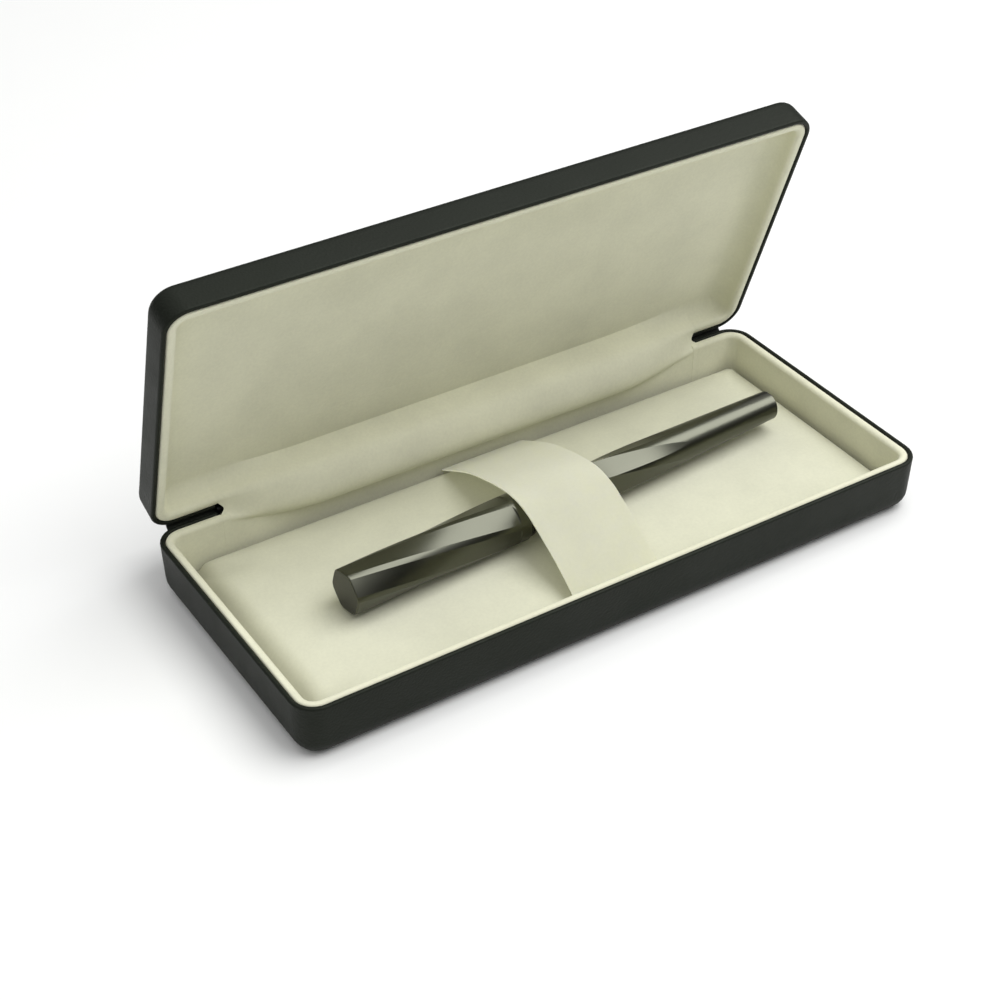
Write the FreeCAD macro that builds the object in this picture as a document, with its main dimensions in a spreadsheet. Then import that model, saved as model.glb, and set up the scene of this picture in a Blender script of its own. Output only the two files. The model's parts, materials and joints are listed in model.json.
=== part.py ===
import FreeCAD, Part
import math
import os
import re
from FreeCAD import Placement, Rotation, Vector
from Sketcher import Constraint

# Pen box: a hinged steel case covered in leatherette and lined in cloth, open at rest.
# X runs along the case, Y from the front to the hinge, Z up.
# The origin is the middle of the underside.

doc = FreeCAD.newDocument("pen_box")
sheet = doc.addObject("Spreadsheet::Sheet", "sizes")

# Driving dimensions, in millimetres, degrees and counts
SIZES = (
    ("case_length", 178.0, "outside length at the rim"),
    ("case_width", 76.6, "outside width at the rim"),
    ("corner_radius", 6.4, "plan radius of the case's corners"),
    ("least_radius", 0.4, "smallest plan radius of an inner corner"),
    ("base_height", 15.2, "underside to the base's rim"),
    ("base_draft", 2.0, "lean of the base's walls"),
    ("base_edge_radius", 4.8, "rounding along the underside"),
    ("lid_height", 9.2, "lid's rim to its top"),
    ("lid_draft", 1.0, "lean of the lid's walls"),
    ("lid_edge_radius", 2.8, "rounding along the lid's top"),
    ("lid_angle", 71.4, "how far the lid stands open at rest"),
    ("rim_gap", 0.3, "gap between the rims when shut"),
    ("cover_thickness", 0.5, "leatherette"),
    ("shell_thickness", 0.5, "pressed steel"),
    ("hem_thickness", 0.3, "leatherette pared and turned in over the rim"),
    ("hem_depth", 2.0, "how far the hem reaches down inside"),
    ("liner_thickness", 1.7, "card wall in the base"),
    ("lid_liner_thickness", 2.0, "card wall in the lid"),
    ("cloth_thickness", 0.5, "lining cloth"),
    ("lip_drop", 0.1, "lining's lip below the rim"),
    ("lip_radius", 1.2, "rounding of the card wall's inner edge"),
    ("lid_depth", 6.3, "lid's rim to its lined panel"),
    ("panel_radius", 4.0, "soft corner between the lid's wall and panel"),
    ("lid_board_gap", 0.3, "room between the lid's card and its shell's rounding"),
    ("pad_gap", 0.6, "room between the insert and the lining"),
    ("pad_lift", 0.2, "glue line under the insert"),
    ("pad_height", 5.3, "insert, from its underside to its crown"),
    ("pad_crown", 0.6, "rise of the insert's top across its width"),
    ("pad_corner_radius", 2.6, "plan radius of the insert's corners"),
    ("pad_edge_radius", 1.2, "rounding along the insert's top"),
    ("pad_cloth_thickness", 0.4, "cloth over the insert"),
    ("pad_board_thickness", 1.5, "card under the insert"),
    ("ribbon_width", 25.0, "ribbon, edge to edge"),
    ("ribbon_thickness", 0.35, "ribbon"),
    ("ribbon_shift", 1.4, "ribbon's middle from the case's middle"),
    ("ribbon_skew", 2.7, "turn of the ribbon from straight across"),
    ("ribbon_tuck", 3.0, "length tucked down beside the insert"),
    ("ribbon_room", 0.35, "air between pen and ribbon"),
    ("hinge_length", 143.0, "knuckles, end to end"),
    ("hinge_setback", 0.15, "hinge line behind the case's back"),
    ("pin_radius", 0.5, "hinge pin"),
    ("pin_clearance", 0.05, "running fit of the pin"),
    ("knuckle_radius", 0.95, "outside of the knuckles"),
    ("knuckle_gap", 0.3, "play between knuckles"),
    ("knuckle_count", 7, "knuckles of both leaves"),
    ("window_gap", 0.3, "room round the knuckles in the walls"),
    ("leaf_thickness", 0.5, "hinge leaf"),
    ("leaf_gap", 0.15, "leaf's distance from the hem"),
    ("leaf_height", 4.4, "hinge line to the leaf's far edge"),
    ("web_offset", 0.15, "hinge line to the leaf's near edge"),
    ("rivet_count", 4, "rivets in each leaf"),
    ("rivet_radius", 0.6, "rivet shank"),
    ("rivet_clearance", 0.03, "rivet hole"),
    ("rivet_head_radius", 1.0, "rivet head"),
    ("rivet_head_height", 0.35, "rivet head"),
    ("rivet_offset", 3.2, "hinge line to the rivets"),
    ("spring_length", 136.0, "bowed spring strip"),
    ("spring_radius", 5.6, "outside of the bow, about the hinge line"),
    ("spring_thickness", 0.4, "spring strip"),
    ("spring_end_angle", 60.0, "bow's reach either side of the rim plane"),
    ("bridge_radius", 6.2, "outside of the hinge cloth, about the hinge line"),
    ("bridge_thickness", 0.4, "hinge cloth"),
    ("bridge_reach", 5.7, "hinge line to the cloth's crease along the lid's panel"),
    ("bridge_seam", 0.15, "cloth's edge short of the lid's panel"),
    ("bridge_wall", 3.7, "hinge line to the cloth's tail in the base"),
    ("bridge_floor_gap", 1.2, "tail's end above the insert's underside"),
    ("spine_radius", 1.6, "outside of the spine, about the hinge line"),
    ("spine_thickness", 0.45, "spine strip"),
    ("spine_gap", 0.05, "glue line under the spine"),
    ("spine_tail", 4.5, "hinge line to the spine's glued edges"),
    ("spine_end_gap", 0.6, "spine's ends short of the round corners"),
    ("pen_length", 132.8, "pen, end to end"),
    ("pen_radius", 6.3, "pen at its widest"),
    ("pen_lift", 0.25, "air between pen and insert"),
    ("pen_turn", 3.44, "turn of the pen from straight along the case"),
    ("pen_left", 59.4, "cap's end left of the case's middle"),
    ("pen_front", 3.94, "cap's end in front of the case's middle"),
    ("cap_length", 50.0, "cap"),
    ("cap_end_radius", 5.6, "cap's flat end"),
    ("cap_collar", 2.5, "plain round stretch at the cap's mouth"),
    ("cap_floor", 2.4, "cap's closed end"),
    ("cap_bore_radius", 4.6, "cap's bore"),
    ("cap_play", 0.15, "play between cap and ring"),
    ("end_chamfer", 0.35, "chamfer at the pen's ends"),
    ("sleeve_thickness", 0.45, "sleeve in the cap"),
    ("sleeve_fit", 0.03, "sleeve in the cap's bore"),
    ("ring_length", 1.6, "dark ring between cap and barrel"),
    ("ring_radius", 5.9, "dark ring"),
    ("barrel_end_radius", 3.85, "barrel's far end"),
    ("barrel_bore_radius", 2.9, "barrel's bore"),
    ("barrel_floor", 12.0, "solid stretch at the barrel's far end"),
    ("facet_count", 6, "flats round the pen"),
    ("facet_twist", 1.2, "turn of the flats, degrees for each millimetre"),
    ("cap_flat_turn", 18.2, "turn of the cap's flats at its end"),
    ("barrel_flat_turn", 21.9, "turn of the barrel's flats, reckoned from the cap's end"),
    ("barrel_flat", 4.8, "barrel's flats, from its axis"),
    ("grip_radius", 3.95, "grip section at the ring"),
    ("grip_front_radius", 2.9, "grip section at its nose"),
    ("grip_length", 30.0, "grip section in front of the ring"),
    ("nose_length", 7.0, "cone in front of the grip section"),
    ("nose_radius", 0.95, "cone's small end"),
    ("spigot_length", 9.0, "grip section's stem inside the barrel"),
    ("spigot_clearance", 0.03, "stem in the barrel's bore"),
    ("refill_radius", 2.2, "refill"),
    ("refill_clearance", 0.1, "refill in the grip section"),
    ("refill_tip_radius", 0.6, "refill's writing tip"),
    ("refill_tip_reach", 2.0, "tip in front of the cone"),
    ("overrun", 5.0, "how far a cut runs past what it cuts"),
)
for row, (alias, number, note) in enumerate(SIZES, 1):
    sheet.set(f"A{row}", str(number))
    sheet.setAlias(f"A{row}", alias)
    sheet.set(f"B{row}", note)
doc.recompute()

ALIASES = {alias for alias, number, note in SIZES}
TOUCH = 1e-4    # two heights closer than this, in millimetres, are the same
EDGE_SHARE = 0.9    # most of a plan corner's radius that an edge's rounding may take
LIP_SHARE = 0.8     # most of a wall's thickness that its lip's rounding may take
PANEL_SHARE = 0.7   # most of the lid's depth that its panel's soft corner may take
FACET_SHARE = 1.062     # corner radius of the cap's flats, as a share of its round radius
FACET_END_SHARE = 0.05  # how far the flats run past their stretch, as a share of its length
FACET_STEP = 25.0   # most turn of the flats from one section to the next, in degrees
X_AXIS = Vector(1, 0, 0)
Y_AXIS = Vector(0, 1, 0)
Z_AXIS = Vector(0, 0, 1)


def size(alias):
    return float(sheet.get(alias))


def in_sheet(text):
    """Write a formula of plain size names as one that reads the sheet."""
    def cell(match):
        word = match.group()
        return "sizes." + word if word in ALIASES else word
    return re.sub(r"[a-z_]+", cell, text)


def bind(item, **formulas):
    """Tie properties to formulas of the sheet; two underscores stand for a dot."""
    for name, formula in formulas.items():
        item.setExpression(name.replace("__", "."), in_sheet(formula))
    return item


# Formulas that several pieces share
AXIS_Y = "(case_width / 2 + hinge_setback)"
AXIS_Z = "(base_height + rim_gap / 2)"
LID_RIM = "(base_height + rim_gap)"
SKIN = "(cover_thickness + shell_thickness)"
LINING_SPACE = f"({SKIN} + hem_thickness)"
BASE_CARD_FACE = f"({LINING_SPACE} + liner_thickness)"
BASE_CLOTH_FACE = f"({BASE_CARD_FACE} + cloth_thickness)"
LID_CARD_FACE = f"({LINING_SPACE} + lid_liner_thickness)"
LID_CLOTH_FACE = f"({LID_CARD_FACE} + cloth_thickness)"
LID_BOARD_INSET = "(lid_edge_radius + lid_board_gap)"
LID_BOARD_DROP = "(lid_depth + cloth_thickness)"
HINGE_REACH = "(hinge_length / 2 + window_gap)"
LEAF_FACE = f"(case_width / 2 - {LINING_SPACE} - leaf_gap)"
LEAF_BACK = f"({LEAF_FACE} - leaf_thickness)"
PAD_FLOOR = f"({SKIN} + pad_lift)"
PAD_TOP = f"({PAD_FLOOR} + pad_height)"
PAD_INSET = f"({BASE_CLOTH_FACE} + pad_gap + (base_height - {PAD_FLOOR}) * tan(base_draft))"
PAD_HALF_LENGTH = f"(case_length / 2 - {PAD_INSET})"
PAD_HALF_WIDTH = f"(case_width / 2 - {PAD_INSET})"
RING_FRONT = "(cap_length + cap_play)"
BARREL_START = f"({RING_FRONT} + ring_length)"
GRIP_FRONT = f"({RING_FRONT} - grip_length)"
NOSE_FRONT = f"({GRIP_FRONT} - nose_length)"
BORE_END = "(pen_length - barrel_floor)"

# The same places as numbers, for placements and the ribbon's outline
axis_y = size("case_width") / 2 + size("hinge_setback")
axis_z = size("base_height") + size("rim_gap") / 2
skin = size("cover_thickness") + size("shell_thickness")
lining_space = skin + size("hem_thickness")
pad_floor = skin + size("pad_lift")
pad_top = pad_floor + size("pad_height")
pad_lean = (size("base_height") - pad_floor) * math.tan(math.radians(size("base_draft")))
base_cloth_face = lining_space + size("liner_thickness") + size("cloth_thickness")
pad_half_width = size("case_width") / 2 - base_cloth_face - size("pad_gap") - pad_lean
pen_axis_z = pad_top + size("pen_lift") + size("pen_radius")

# How the lid and the pen stand at rest
LID_OPEN = Placement(Vector(), Rotation(X_AXIS, -size("lid_angle")), Vector(0, axis_y, axis_z))
PEN_PLACE = Placement(
    Vector(-size("pen_left"), -size("pen_front"), pen_axis_z),
    Rotation(Z_AXIS, size("pen_turn")) * Rotation(Y_AXIS, 90),
)


# Finished sub-parts, in the order in which they are made
NODES = []


def node(item, name, place=None):
    """Name a finished sub-part, set it in its place and keep it for writing."""
    item.Label = name
    if place:
        item.Placement = place
    NODES.append(item)
    return item


# Solids from primitives


def box_solid(name, low, high):
    """A box between two corners, each given as three formulas."""
    box = doc.addObject("Part::Box", name)
    for side, letter, start, end in zip(("Length", "Width", "Height"), "xyz", low, high):
        bind(box, **{side: f"({end}) - ({start})", f"Placement__Base__{letter}": start})
    return box


def rod(name, radius, start, end):
    """An upright cylinder between two heights."""
    item = doc.addObject("Part::Cylinder", name)
    return bind(item, Radius=radius, Height=f"({end}) - ({start})", Placement__Base__z=start)


def rod_along_x(name, radius, start, end, y, z):
    item = doc.addObject("Part::Cylinder", name)
    item.Placement = Placement(Vector(), Rotation(Y_AXIS, 90))
    bind(item, Radius=radius, Height=f"({end}) - ({start})")
    return bind(item, Placement__Base__x=start, Placement__Base__y=y, Placement__Base__z=z)


def rod_along_y(name, radius, start, end, x, z):
    item = doc.addObject("Part::Cylinder", name)
    item.Placement = Placement(Vector(), Rotation(X_AXIS, -90))
    bind(item, Radius=radius, Height=f"({end}) - ({start})")
    return bind(item, Placement__Base__x=x, Placement__Base__y=start, Placement__Base__z=z)


def taper(name, radius_low, radius_high, start, end):
    """An upright cone between two heights."""
    item = doc.addObject("Part::Cone", name)
    bind(item, Radius1=radius_low, Radius2=radius_high)
    return bind(item, Height=f"({end}) - ({start})", Placement__Base__z=start)


def joined(name, items):
    fusion = doc.addObject("Part::MultiFuse", name)
    fusion.Shapes = items
    fusion.Refine = True
    return fusion


def less(name, base, tool):
    cut = doc.addObject("Part::Cut", name)
    cut.Base = base
    cut.Tool = tool
    cut.Refine = True
    return cut


def bow(name, half_length, radius, thickness, first_angle, span):
    """A strip curved about the hinge line, from an angle above the back, turning over the front."""
    turn = Rotation(X_AXIS, first_angle) * Rotation(Vector(1, 1, 1), 120)
    sectors = []
    for part, formula in (("outside", radius), ("inside", f"{radius} - {thickness}")):
        sector = doc.addObject("Part::Cylinder", f"{name}_{part}")
        sector.Placement = Placement(Vector(), turn)
        bind(sector, Radius=formula, Height=f"2 * {half_length}", Angle=span)
        bind(sector, Placement__Base__x=f"-{half_length}")
        bind(sector, Placement__Base__y=AXIS_Y, Placement__Base__z=AXIS_Z)
        sectors.append(sector)
    return less(f"{name}_bow", *sectors)


# Sketches and bodies


def new_sketch(body, name, role):
    sketch = body.newObject("Sketcher::SketchObject", name)
    plane = next(item for item in body.Origin.OriginFeatures if item.Role == role)
    sketch.AttachmentSupport = [(plane, "")]
    sketch.MapMode = "FlatFace"
    return sketch


def set_datum(sketch, kind, places, start, name, formula):
    """Add a named size to a sketch and tie it to the sheet."""
    index = sketch.addConstraint(Constraint(kind, *places, start))
    sketch.renameConstraint(index, name)
    sketch.setExpression("Constraints." + name, in_sheet(formula))


def rounded_rectangle(sketch, half_length, half_width, radius):
    """Draw a rectangle with round corners about the sketch's origin."""
    long = size("case_length") / 2
    wide = size("case_width") / 2
    bend = size("corner_radius")
    for number, (right, up) in enumerate(((1, 1), (-1, 1), (-1, -1), (1, -1))):
        circle = Part.Circle(Vector(right * (long - bend), up * (wide - bend), 0), Z_AXIS, bend)
        start = math.radians(90 * number)
        sketch.addGeometry(Part.ArcOfCircle(circle, start, start + math.radians(90)))
    for number in range(4):
        after = (number + 1) % 4
        line = sketch.addGeometry(
            Part.LineSegment(sketch.getPoint(number, 2), sketch.getPoint(after, 1))
        )
        sketch.addConstraint(Constraint("Tangent", number, 2, line, 1))
        sketch.addConstraint(Constraint("Tangent", line, 2, after, 1))
        sketch.addConstraint(Constraint("Vertical" if number % 2 else "Horizontal", line))
        if number:
            sketch.addConstraint(Constraint("Equal", 0, number))
    set_datum(sketch, "Radius", (0,), bend, "corner", radius)
    set_datum(sketch, "DistanceX", (-1, 1, 7, 1), long, "right", half_length)
    set_datum(sketch, "DistanceX", (5, 1, -1, 1), long, "left", half_length)
    set_datum(sketch, "DistanceY", (-1, 1, 4, 1), wide, "back", half_width)
    set_datum(sketch, "DistanceY", (6, 1, -1, 1), wide, "front", half_width)


def edges_at_height(shape, height):
    """Name the edges that lie flat at one height."""
    names = []
    for number, edge in enumerate(shape.Edges, 1):
        box = edge.BoundBox
        if abs(box.ZMin - height) < TOUCH and abs(box.ZMax - height) < TOUCH:
            names.append(f"Edge{number}")
    return names


def inside_edges(shape, names):
    """Of two loops of edges at one height, the inner loop's names."""
    reach = max(abs(shape.getElement(name).BoundBox.XMax) for name in names)
    width = max(abs(shape.getElement(name).BoundBox.YMax) for name in names)

    def is_inner(name):
        box = shape.getElement(name).BoundBox
        off_ends = max(abs(box.XMin), abs(box.XMax)) < reach - size("least_radius")
        off_sides = max(abs(box.YMin), abs(box.YMax)) < width - size("least_radius")
        return off_ends and off_sides

    return [name for name in names if is_inner(name)]


def round_edges(body, feature, name, edge_names, radius):
    fillet = body.newObject("PartDesign::Fillet", name)
    fillet.Base = (feature, edge_names)
    bind(fillet, Radius=radius)
    doc.recompute()
    return fillet


# Trays: the base is drawn from its rim downwards, the lid from its rim upwards


class Half:
    """One half of the case: where its rim is and which way it deepens."""

    def __init__(self, name, rim, height, draft, edge, sign):
        self.name = name
        self.rim = rim
        self.height = height
        self.draft = draft
        self.edge = edge
        self.sign = sign

    def level(self, drop):
        """Height of a plane that lies this far inside from the rim."""
        return f"({self.rim} {self.sign} ({drop}))"

    def beside_axis(self, distance):
        """Height of a plane that lies this far from the hinge line, towards this half."""
        return f"({AXIS_Z} {self.sign} ({distance}))"

    def span(self, near, far):
        """Two heights in rising order, given nearest to the rim first."""
        return (near, far) if self.sign == "+" else (far, near)


BASE = Half("base", "base_height", "base_height", "base_draft", "base_edge_radius", "-")
LID = Half("lid", LID_RIM, "lid_height", "lid_draft", "lid_edge_radius", "+")


def tray_outline(sketch, half, inset, drop):
    """The case's plan, set in from the outside, at a depth inside the rim."""
    bind(sketch, AttachmentOffset__Base__z=half.level(drop))
    lean = f"({inset} + ({drop}) * tan({half.draft}))"
    radius = f"max(corner_radius - {lean}; least_radius)"
    rounded_rectangle(sketch, f"case_length / 2 - {lean}", f"case_width / 2 - {lean}", radius)


def tray_block(half, name, inset, drop, end, rounded=True):
    """A solid with the case's leaning sides, between two depths inside the rim."""
    name = f"{half.name}_{name}"
    body = doc.addObject("PartDesign::Body", name)
    sketch = new_sketch(body, f"{name}_plan", "XY_Plane")
    tray_outline(sketch, half, inset, drop)
    block = body.newObject("PartDesign::Pad", f"{name}_block")
    block.Profile = sketch
    block.Reversed = half.sign == "-"
    bind(block, Length=f"({end}) - ({drop})", TaperAngle=f"-{half.draft}")
    doc.recompute()
    if rounded:
        box = block.Shape.BoundBox
        far = box.ZMin if half.sign == "-" else box.ZMax
        plan = f"max(corner_radius - {inset} - {half.height} * tan({half.draft}); least_radius)"
        radius = f"min(max({half.edge} - {inset}; least_radius / 2); {EDGE_SHARE} * {plan})"
        round_edges(body, block, f"{name}_edge", edges_at_height(block.Shape, far), radius)
    return body


def hollow_out(half, body, inset, drop, depth):
    """Cut a tray body from its mouth, with the same lean as its sides."""
    sketch = new_sketch(body, f"{body.Name}_mouth", "XY_Plane")
    tray_outline(sketch, half, inset, drop)
    before = body.Shape.Volume
    hollow = body.newObject("PartDesign::Pocket", f"{body.Name}_hollow")
    hollow.Profile = sketch
    hollow.Reversed = half.sign == "+"
    bind(hollow, Length=depth, TaperAngle=f"-{half.draft}")
    doc.recompute()
    if hollow.Shape.Volume > before - TOUCH:
        raise ValueError(f"{hollow.Name} cuts nothing")
    return hollow


def roll_lip(half, body, feature, radius):
    """Round the inner edge of a tray body's mouth."""
    box = feature.Shape.BoundBox
    mouth = box.ZMax if half.sign == "-" else box.ZMin
    names = inside_edges(feature.Shape, edges_at_height(feature.Shape, mouth))
    return round_edges(body, feature, f"{body.Name}_lip", names, radius)


# Case halves: steel tray and leatherette cover, with windows for the knuckles


def hinge_window(half):
    low, high = half.span(half.level("-overrun"), half.beside_axis("knuckle_radius + window_gap"))
    return box_solid(
        f"{half.name}_window",
        (f"-{HINGE_REACH}", f"case_width / 2 - {LINING_SPACE} - leaf_gap / 2", low),
        (HINGE_REACH, "case_width / 2 + overrun", high),
    )


def rivet_shares():
    """Places of the rivets along the hinge, as shares of its length."""
    count = int(size("rivet_count"))
    return [(number + 0.5) / count - 0.5 for number in range(count)]


def rivet_holes(half):
    holes = []
    for number, share in enumerate(rivet_shares()):
        holes.append(rod_along_y(
            f"{half.name}_rivet_hole_{number}", "rivet_radius + rivet_clearance",
            f"{LEAF_BACK} - overrun", "case_width / 2 - cover_thickness / 2",
            f"{share} * hinge_length", half.beside_axis("rivet_offset"),
        ))
    return joined(f"{half.name}_rivet_holes", holes)


def case_half(half, holes, place):
    """Steel tray and leatherette cover of one half; the cover's hem folds over the tray's rim."""
    window = hinge_window(half)
    outside = tray_block(half, "outside", "0", "0", half.height)
    leather = "cover_thickness"
    steel = tray_block(half, "steel", leather, leather, f"{half.height} - {leather}")
    space = tray_block(half, "space", SKIN, "cover_thickness - overrun", f"{half.height} - {SKIN}")
    blank = less(f"{half.name}_steel_blank", steel, space)
    below_hem = tray_block(half, "below_hem", SKIN, "hem_depth", f"{half.height} - {SKIN}")
    mouth = tray_block(half, "hem_mouth", LINING_SPACE, "-overrun", f"hem_depth + {SKIN}", rounded=False)
    shell_tools = joined(f"{half.name}_shell_tools", [window, holes])
    filling = joined(f"{half.name}_filling", [blank, below_hem, mouth, window])
    node(less(f"{half.name}_shell_part", blank, shell_tools), f"{half.name}_shell", place)
    node(less(f"{half.name}_cover_part", outside, filling), f"{half.name}_cover", place)


base_holes = rivet_holes(BASE)
lid_holes = rivet_holes(LID)
case_half(BASE, base_holes, Placement())
case_half(LID, lid_holes, LID_OPEN)


# Linings: a card wall with cloth rolled over it, open at the back for the hinge


def hinge_opening(half, far):
    low, high = half.span(half.level("-overrun"), half.level(far))
    return box_solid(
        f"{half.name}_hinge_opening",
        (f"-{HINGE_REACH}", f"case_width / 2 - {LID_CLOTH_FACE} - panel_radius", low),
        (HINGE_REACH, "case_width / 2 + overrun", high),
    )


def lip_rounding(thickness):
    return f"min(lip_radius; {LIP_SHARE} * {thickness})"


def card_wall(half, face, thickness, end, rounded):
    """A card wall round the inside of a tray, its inner lip rounded."""
    drop = "lip_drop + cloth_thickness"
    body = tray_block(half, "card_wall", LINING_SPACE, drop, end, rounded)
    hollow = hollow_out(half, body, face, drop, f"{half.height}")
    roll_lip(half, body, hollow, lip_rounding(thickness))
    return body


base_opening = hinge_opening(BASE, "base_height + overrun")
base_card = card_wall(BASE, BASE_CARD_FACE, "liner_thickness", f"base_height - {SKIN}", True)
node(less("base_liner_part", base_card, base_opening), "base_liner")

base_roll = tray_block(BASE, "cloth_wall", LINING_SPACE, "lip_drop", f"base_height - {SKIN}")
roll_hollow = hollow_out(BASE, base_roll, BASE_CLOTH_FACE, "lip_drop", "base_height")
roll_lip(BASE, base_roll, roll_hollow, lip_rounding("liner_thickness") + " + cloth_thickness")
base_lining_tools = joined("base_lining_tools", [base_card, base_opening])
node(less("base_lining_part", base_roll, base_lining_tools), "base_lining")

lid_opening = hinge_opening(LID, "lid_depth")
lid_card = card_wall(LID, LID_CARD_FACE, "lid_liner_thickness", LID_BOARD_DROP, False)
node(less("lid_liner_part", lid_card, lid_opening), "lid_liner", LID_OPEN)

lid_board = tray_block(LID, "board_block", LID_BOARD_INSET, LID_BOARD_DROP, f"lid_height - {SKIN}", False)
node(lid_board, "lid_board", LID_OPEN)

lid_roll = tray_block(LID, "cloth_wall", LINING_SPACE, "lip_drop", LID_BOARD_DROP, False)
roll_hollow = hollow_out(LID, lid_roll, LID_CLOTH_FACE, "lip_drop", "lid_depth - lip_drop")
panel_height = axis_z + size("rim_gap") / 2 + size("lid_depth")
panel_edges = edges_at_height(roll_hollow.Shape, panel_height)
panel_rounding = f"min(panel_radius; {PANEL_SHARE} * lid_depth)"
panel_corner = round_edges(lid_roll, roll_hollow, "lid_panel_corner", panel_edges, panel_rounding)
roll_lip(LID, lid_roll, panel_corner, lip_rounding("lid_liner_thickness") + " + cloth_thickness")
lid_lining_tools = joined("lid_lining_tools", [lid_card, lid_opening])
node(less("lid_lining_part", lid_roll, lid_lining_tools), "lid_lining", LID_OPEN)


# Padded insert: card, foam and the cloth over both


def crowned_pad(name, inset, low, high):
    """A pad with a crowned top, round corners and a soft top edge."""
    body = doc.addObject("PartDesign::Body", name)
    sketch = new_sketch(body, f"{name}_section", "YZ_Plane")
    wide = pad_half_width
    tall = pad_top - size("pad_crown")
    left = Vector(-wide, pad_floor, 0)
    right = Vector(wide, pad_floor, 0)
    left_top = Vector(-wide, tall, 0)
    right_top = Vector(wide, tall, 0)
    crest = Vector(0, pad_top, 0)
    sketch.addGeometry(Part.LineSegment(left, right))
    sketch.addGeometry(Part.LineSegment(right, right_top))
    sketch.addGeometry(Part.Arc(right_top, crest, left_top))
    sketch.addGeometry(Part.LineSegment(left_top, left))
    for first, second in ((0, 1), (1, 2), (2, 3), (3, 0)):
        sketch.addConstraint(Constraint("Coincident", first, 2, second, 1))
    sketch.addConstraint(Constraint("Horizontal", 0))
    sketch.addConstraint(Constraint("Vertical", 1))
    sketch.addConstraint(Constraint("Vertical", 3))
    sketch.addConstraint(Constraint("Equal", 1, 3))
    half_width = f"({PAD_HALF_WIDTH} - {inset})"
    set_datum(sketch, "DistanceX", (0, 1, -1, 1), wide, "front", half_width)
    set_datum(sketch, "DistanceX", (-1, 1, 0, 2), wide, "back", half_width)
    set_datum(sketch, "DistanceY", (-1, 1, 0, 1), tall, "low", low)
    set_datum(sketch, "DistanceY", (1, 1, 1, 2), tall, "side", f"{high} - pad_crown - {low}")
    top_point = sketch.addGeometry(Part.Point(crest), True)
    sketch.addConstraint(Constraint("PointOnObject", top_point, 1, 2))
    sketch.addConstraint(Constraint("PointOnObject", top_point, 1, -2))
    set_datum(sketch, "DistanceY", (-1, 1, top_point, 1), tall, "crown", high)
    block = body.newObject("PartDesign::Pad", f"{name}_block")
    block.Profile = sketch
    block.SideType = "Symmetric"
    bind(block, Length=f"2 * ({PAD_HALF_LENGTH} - {inset})")
    doc.recompute()
    upright = []
    for number, edge in enumerate(block.Shape.Edges, 1):
        if edge.BoundBox.XLength < TOUCH and edge.BoundBox.YLength < TOUCH:
            upright.append(f"Edge{number}")
    corners = round_edges(body, block, f"{name}_corners", upright, f"pad_corner_radius - {inset}")
    top = max(corners.Shape.Faces, key=lambda face: face.CenterOfMass.z)
    rim = []
    for number, edge in enumerate(corners.Shape.Edges, 1):
        if any(edge.isSame(other) for other in top.Edges):
            rim.append(f"Edge{number}")
    round_edges(body, corners, f"{name}_rim", rim, f"pad_edge_radius - {inset}")
    return body


pad_outside = crowned_pad("pad_outside", "0", PAD_FLOOR, PAD_TOP)
board_top = f"({PAD_FLOOR} + pad_board_thickness)"
foam_top = f"({PAD_TOP} - pad_cloth_thickness)"
pad_foam = crowned_pad("pad_filling", "pad_cloth_thickness", board_top, foam_top)
node(pad_foam, "pad_foam")

pad_board = doc.addObject("PartDesign::Body", "pad_card")
board_plan = new_sketch(pad_board, "pad_card_plan", "XY_Plane")
bind(board_plan, AttachmentOffset__Base__z=PAD_FLOOR)
rounded_rectangle(
    board_plan,
    f"{PAD_HALF_LENGTH} - pad_cloth_thickness",
    f"{PAD_HALF_WIDTH} - pad_cloth_thickness",
    "pad_corner_radius - pad_cloth_thickness",
)
board_plate = pad_board.newObject("PartDesign::Pad", "pad_card_plate")
board_plate.Profile = board_plan
bind(board_plate, Length="pad_board_thickness")
doc.recompute()
node(pad_board, "pad_board")
node(less("pad_cloth_part", pad_outside, joined("pad_inside", [pad_foam, pad_board])), "pad_cloth")


# Ribbon: tucked in behind the insert, arched over the pen, tucked in at the front

# Places along the underside of the arch: shares of its half span, then of its rise
RIBBON_BACK_SHARES = ((1.0, 0.0), (0.60, 0.53), (0.12, 0.925))
RIBBON_CROWN_SHARES = ((0.12, 0.925), (-0.12, 1.0), (-0.33, 0.885))
RIBBON_FRONT_SHARES = ((-0.33, 0.885), (-0.66, 0.51), (-1.0, 0.0))

ribbon_reach = pad_half_width + (size("pad_gap") - size("ribbon_thickness")) / 2
ribbon_start = pad_top - size("pad_crown")
ribbon_rise = pen_axis_z + size("pen_radius") + size("ribbon_room") - ribbon_start
ribbon_slope = math.tan(math.radians(size("ribbon_skew")))


def ribbon_point(share, rise):
    y = share * ribbon_reach
    return Vector(y * ribbon_slope, y, ribbon_start + rise * ribbon_rise)


tuck = Vector(0, 0, size("ribbon_tuck"))
back_end = ribbon_point(*RIBBON_BACK_SHARES[0])
front_end = ribbon_point(*RIBBON_FRONT_SHARES[-1])
ribbon_edges = [Part.LineSegment(back_end - tuck, back_end).toShape()]
for shares in (RIBBON_BACK_SHARES, RIBBON_CROWN_SHARES, RIBBON_FRONT_SHARES):
    ribbon_edges.append(Part.Arc(*[ribbon_point(*share) for share in shares]).toShape())
ribbon_edges.append(Part.LineSegment(front_end, front_end - tuck).toShape())
ribbon_band = Part.Wire(ribbon_edges).makeOffset2D(size("ribbon_thickness"), 0, True, True, False)
ribbon = doc.addObject("Part::Feature", "ribbon")
ribbon.Shape = ribbon_band.extrude(X_AXIS * size("ribbon_width"))
ribbon_place = Placement(Vector(size("ribbon_shift") - size("ribbon_width") / 2, 0, 0), Rotation())
node(ribbon, "ribbon_strap", ribbon_place)


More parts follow.
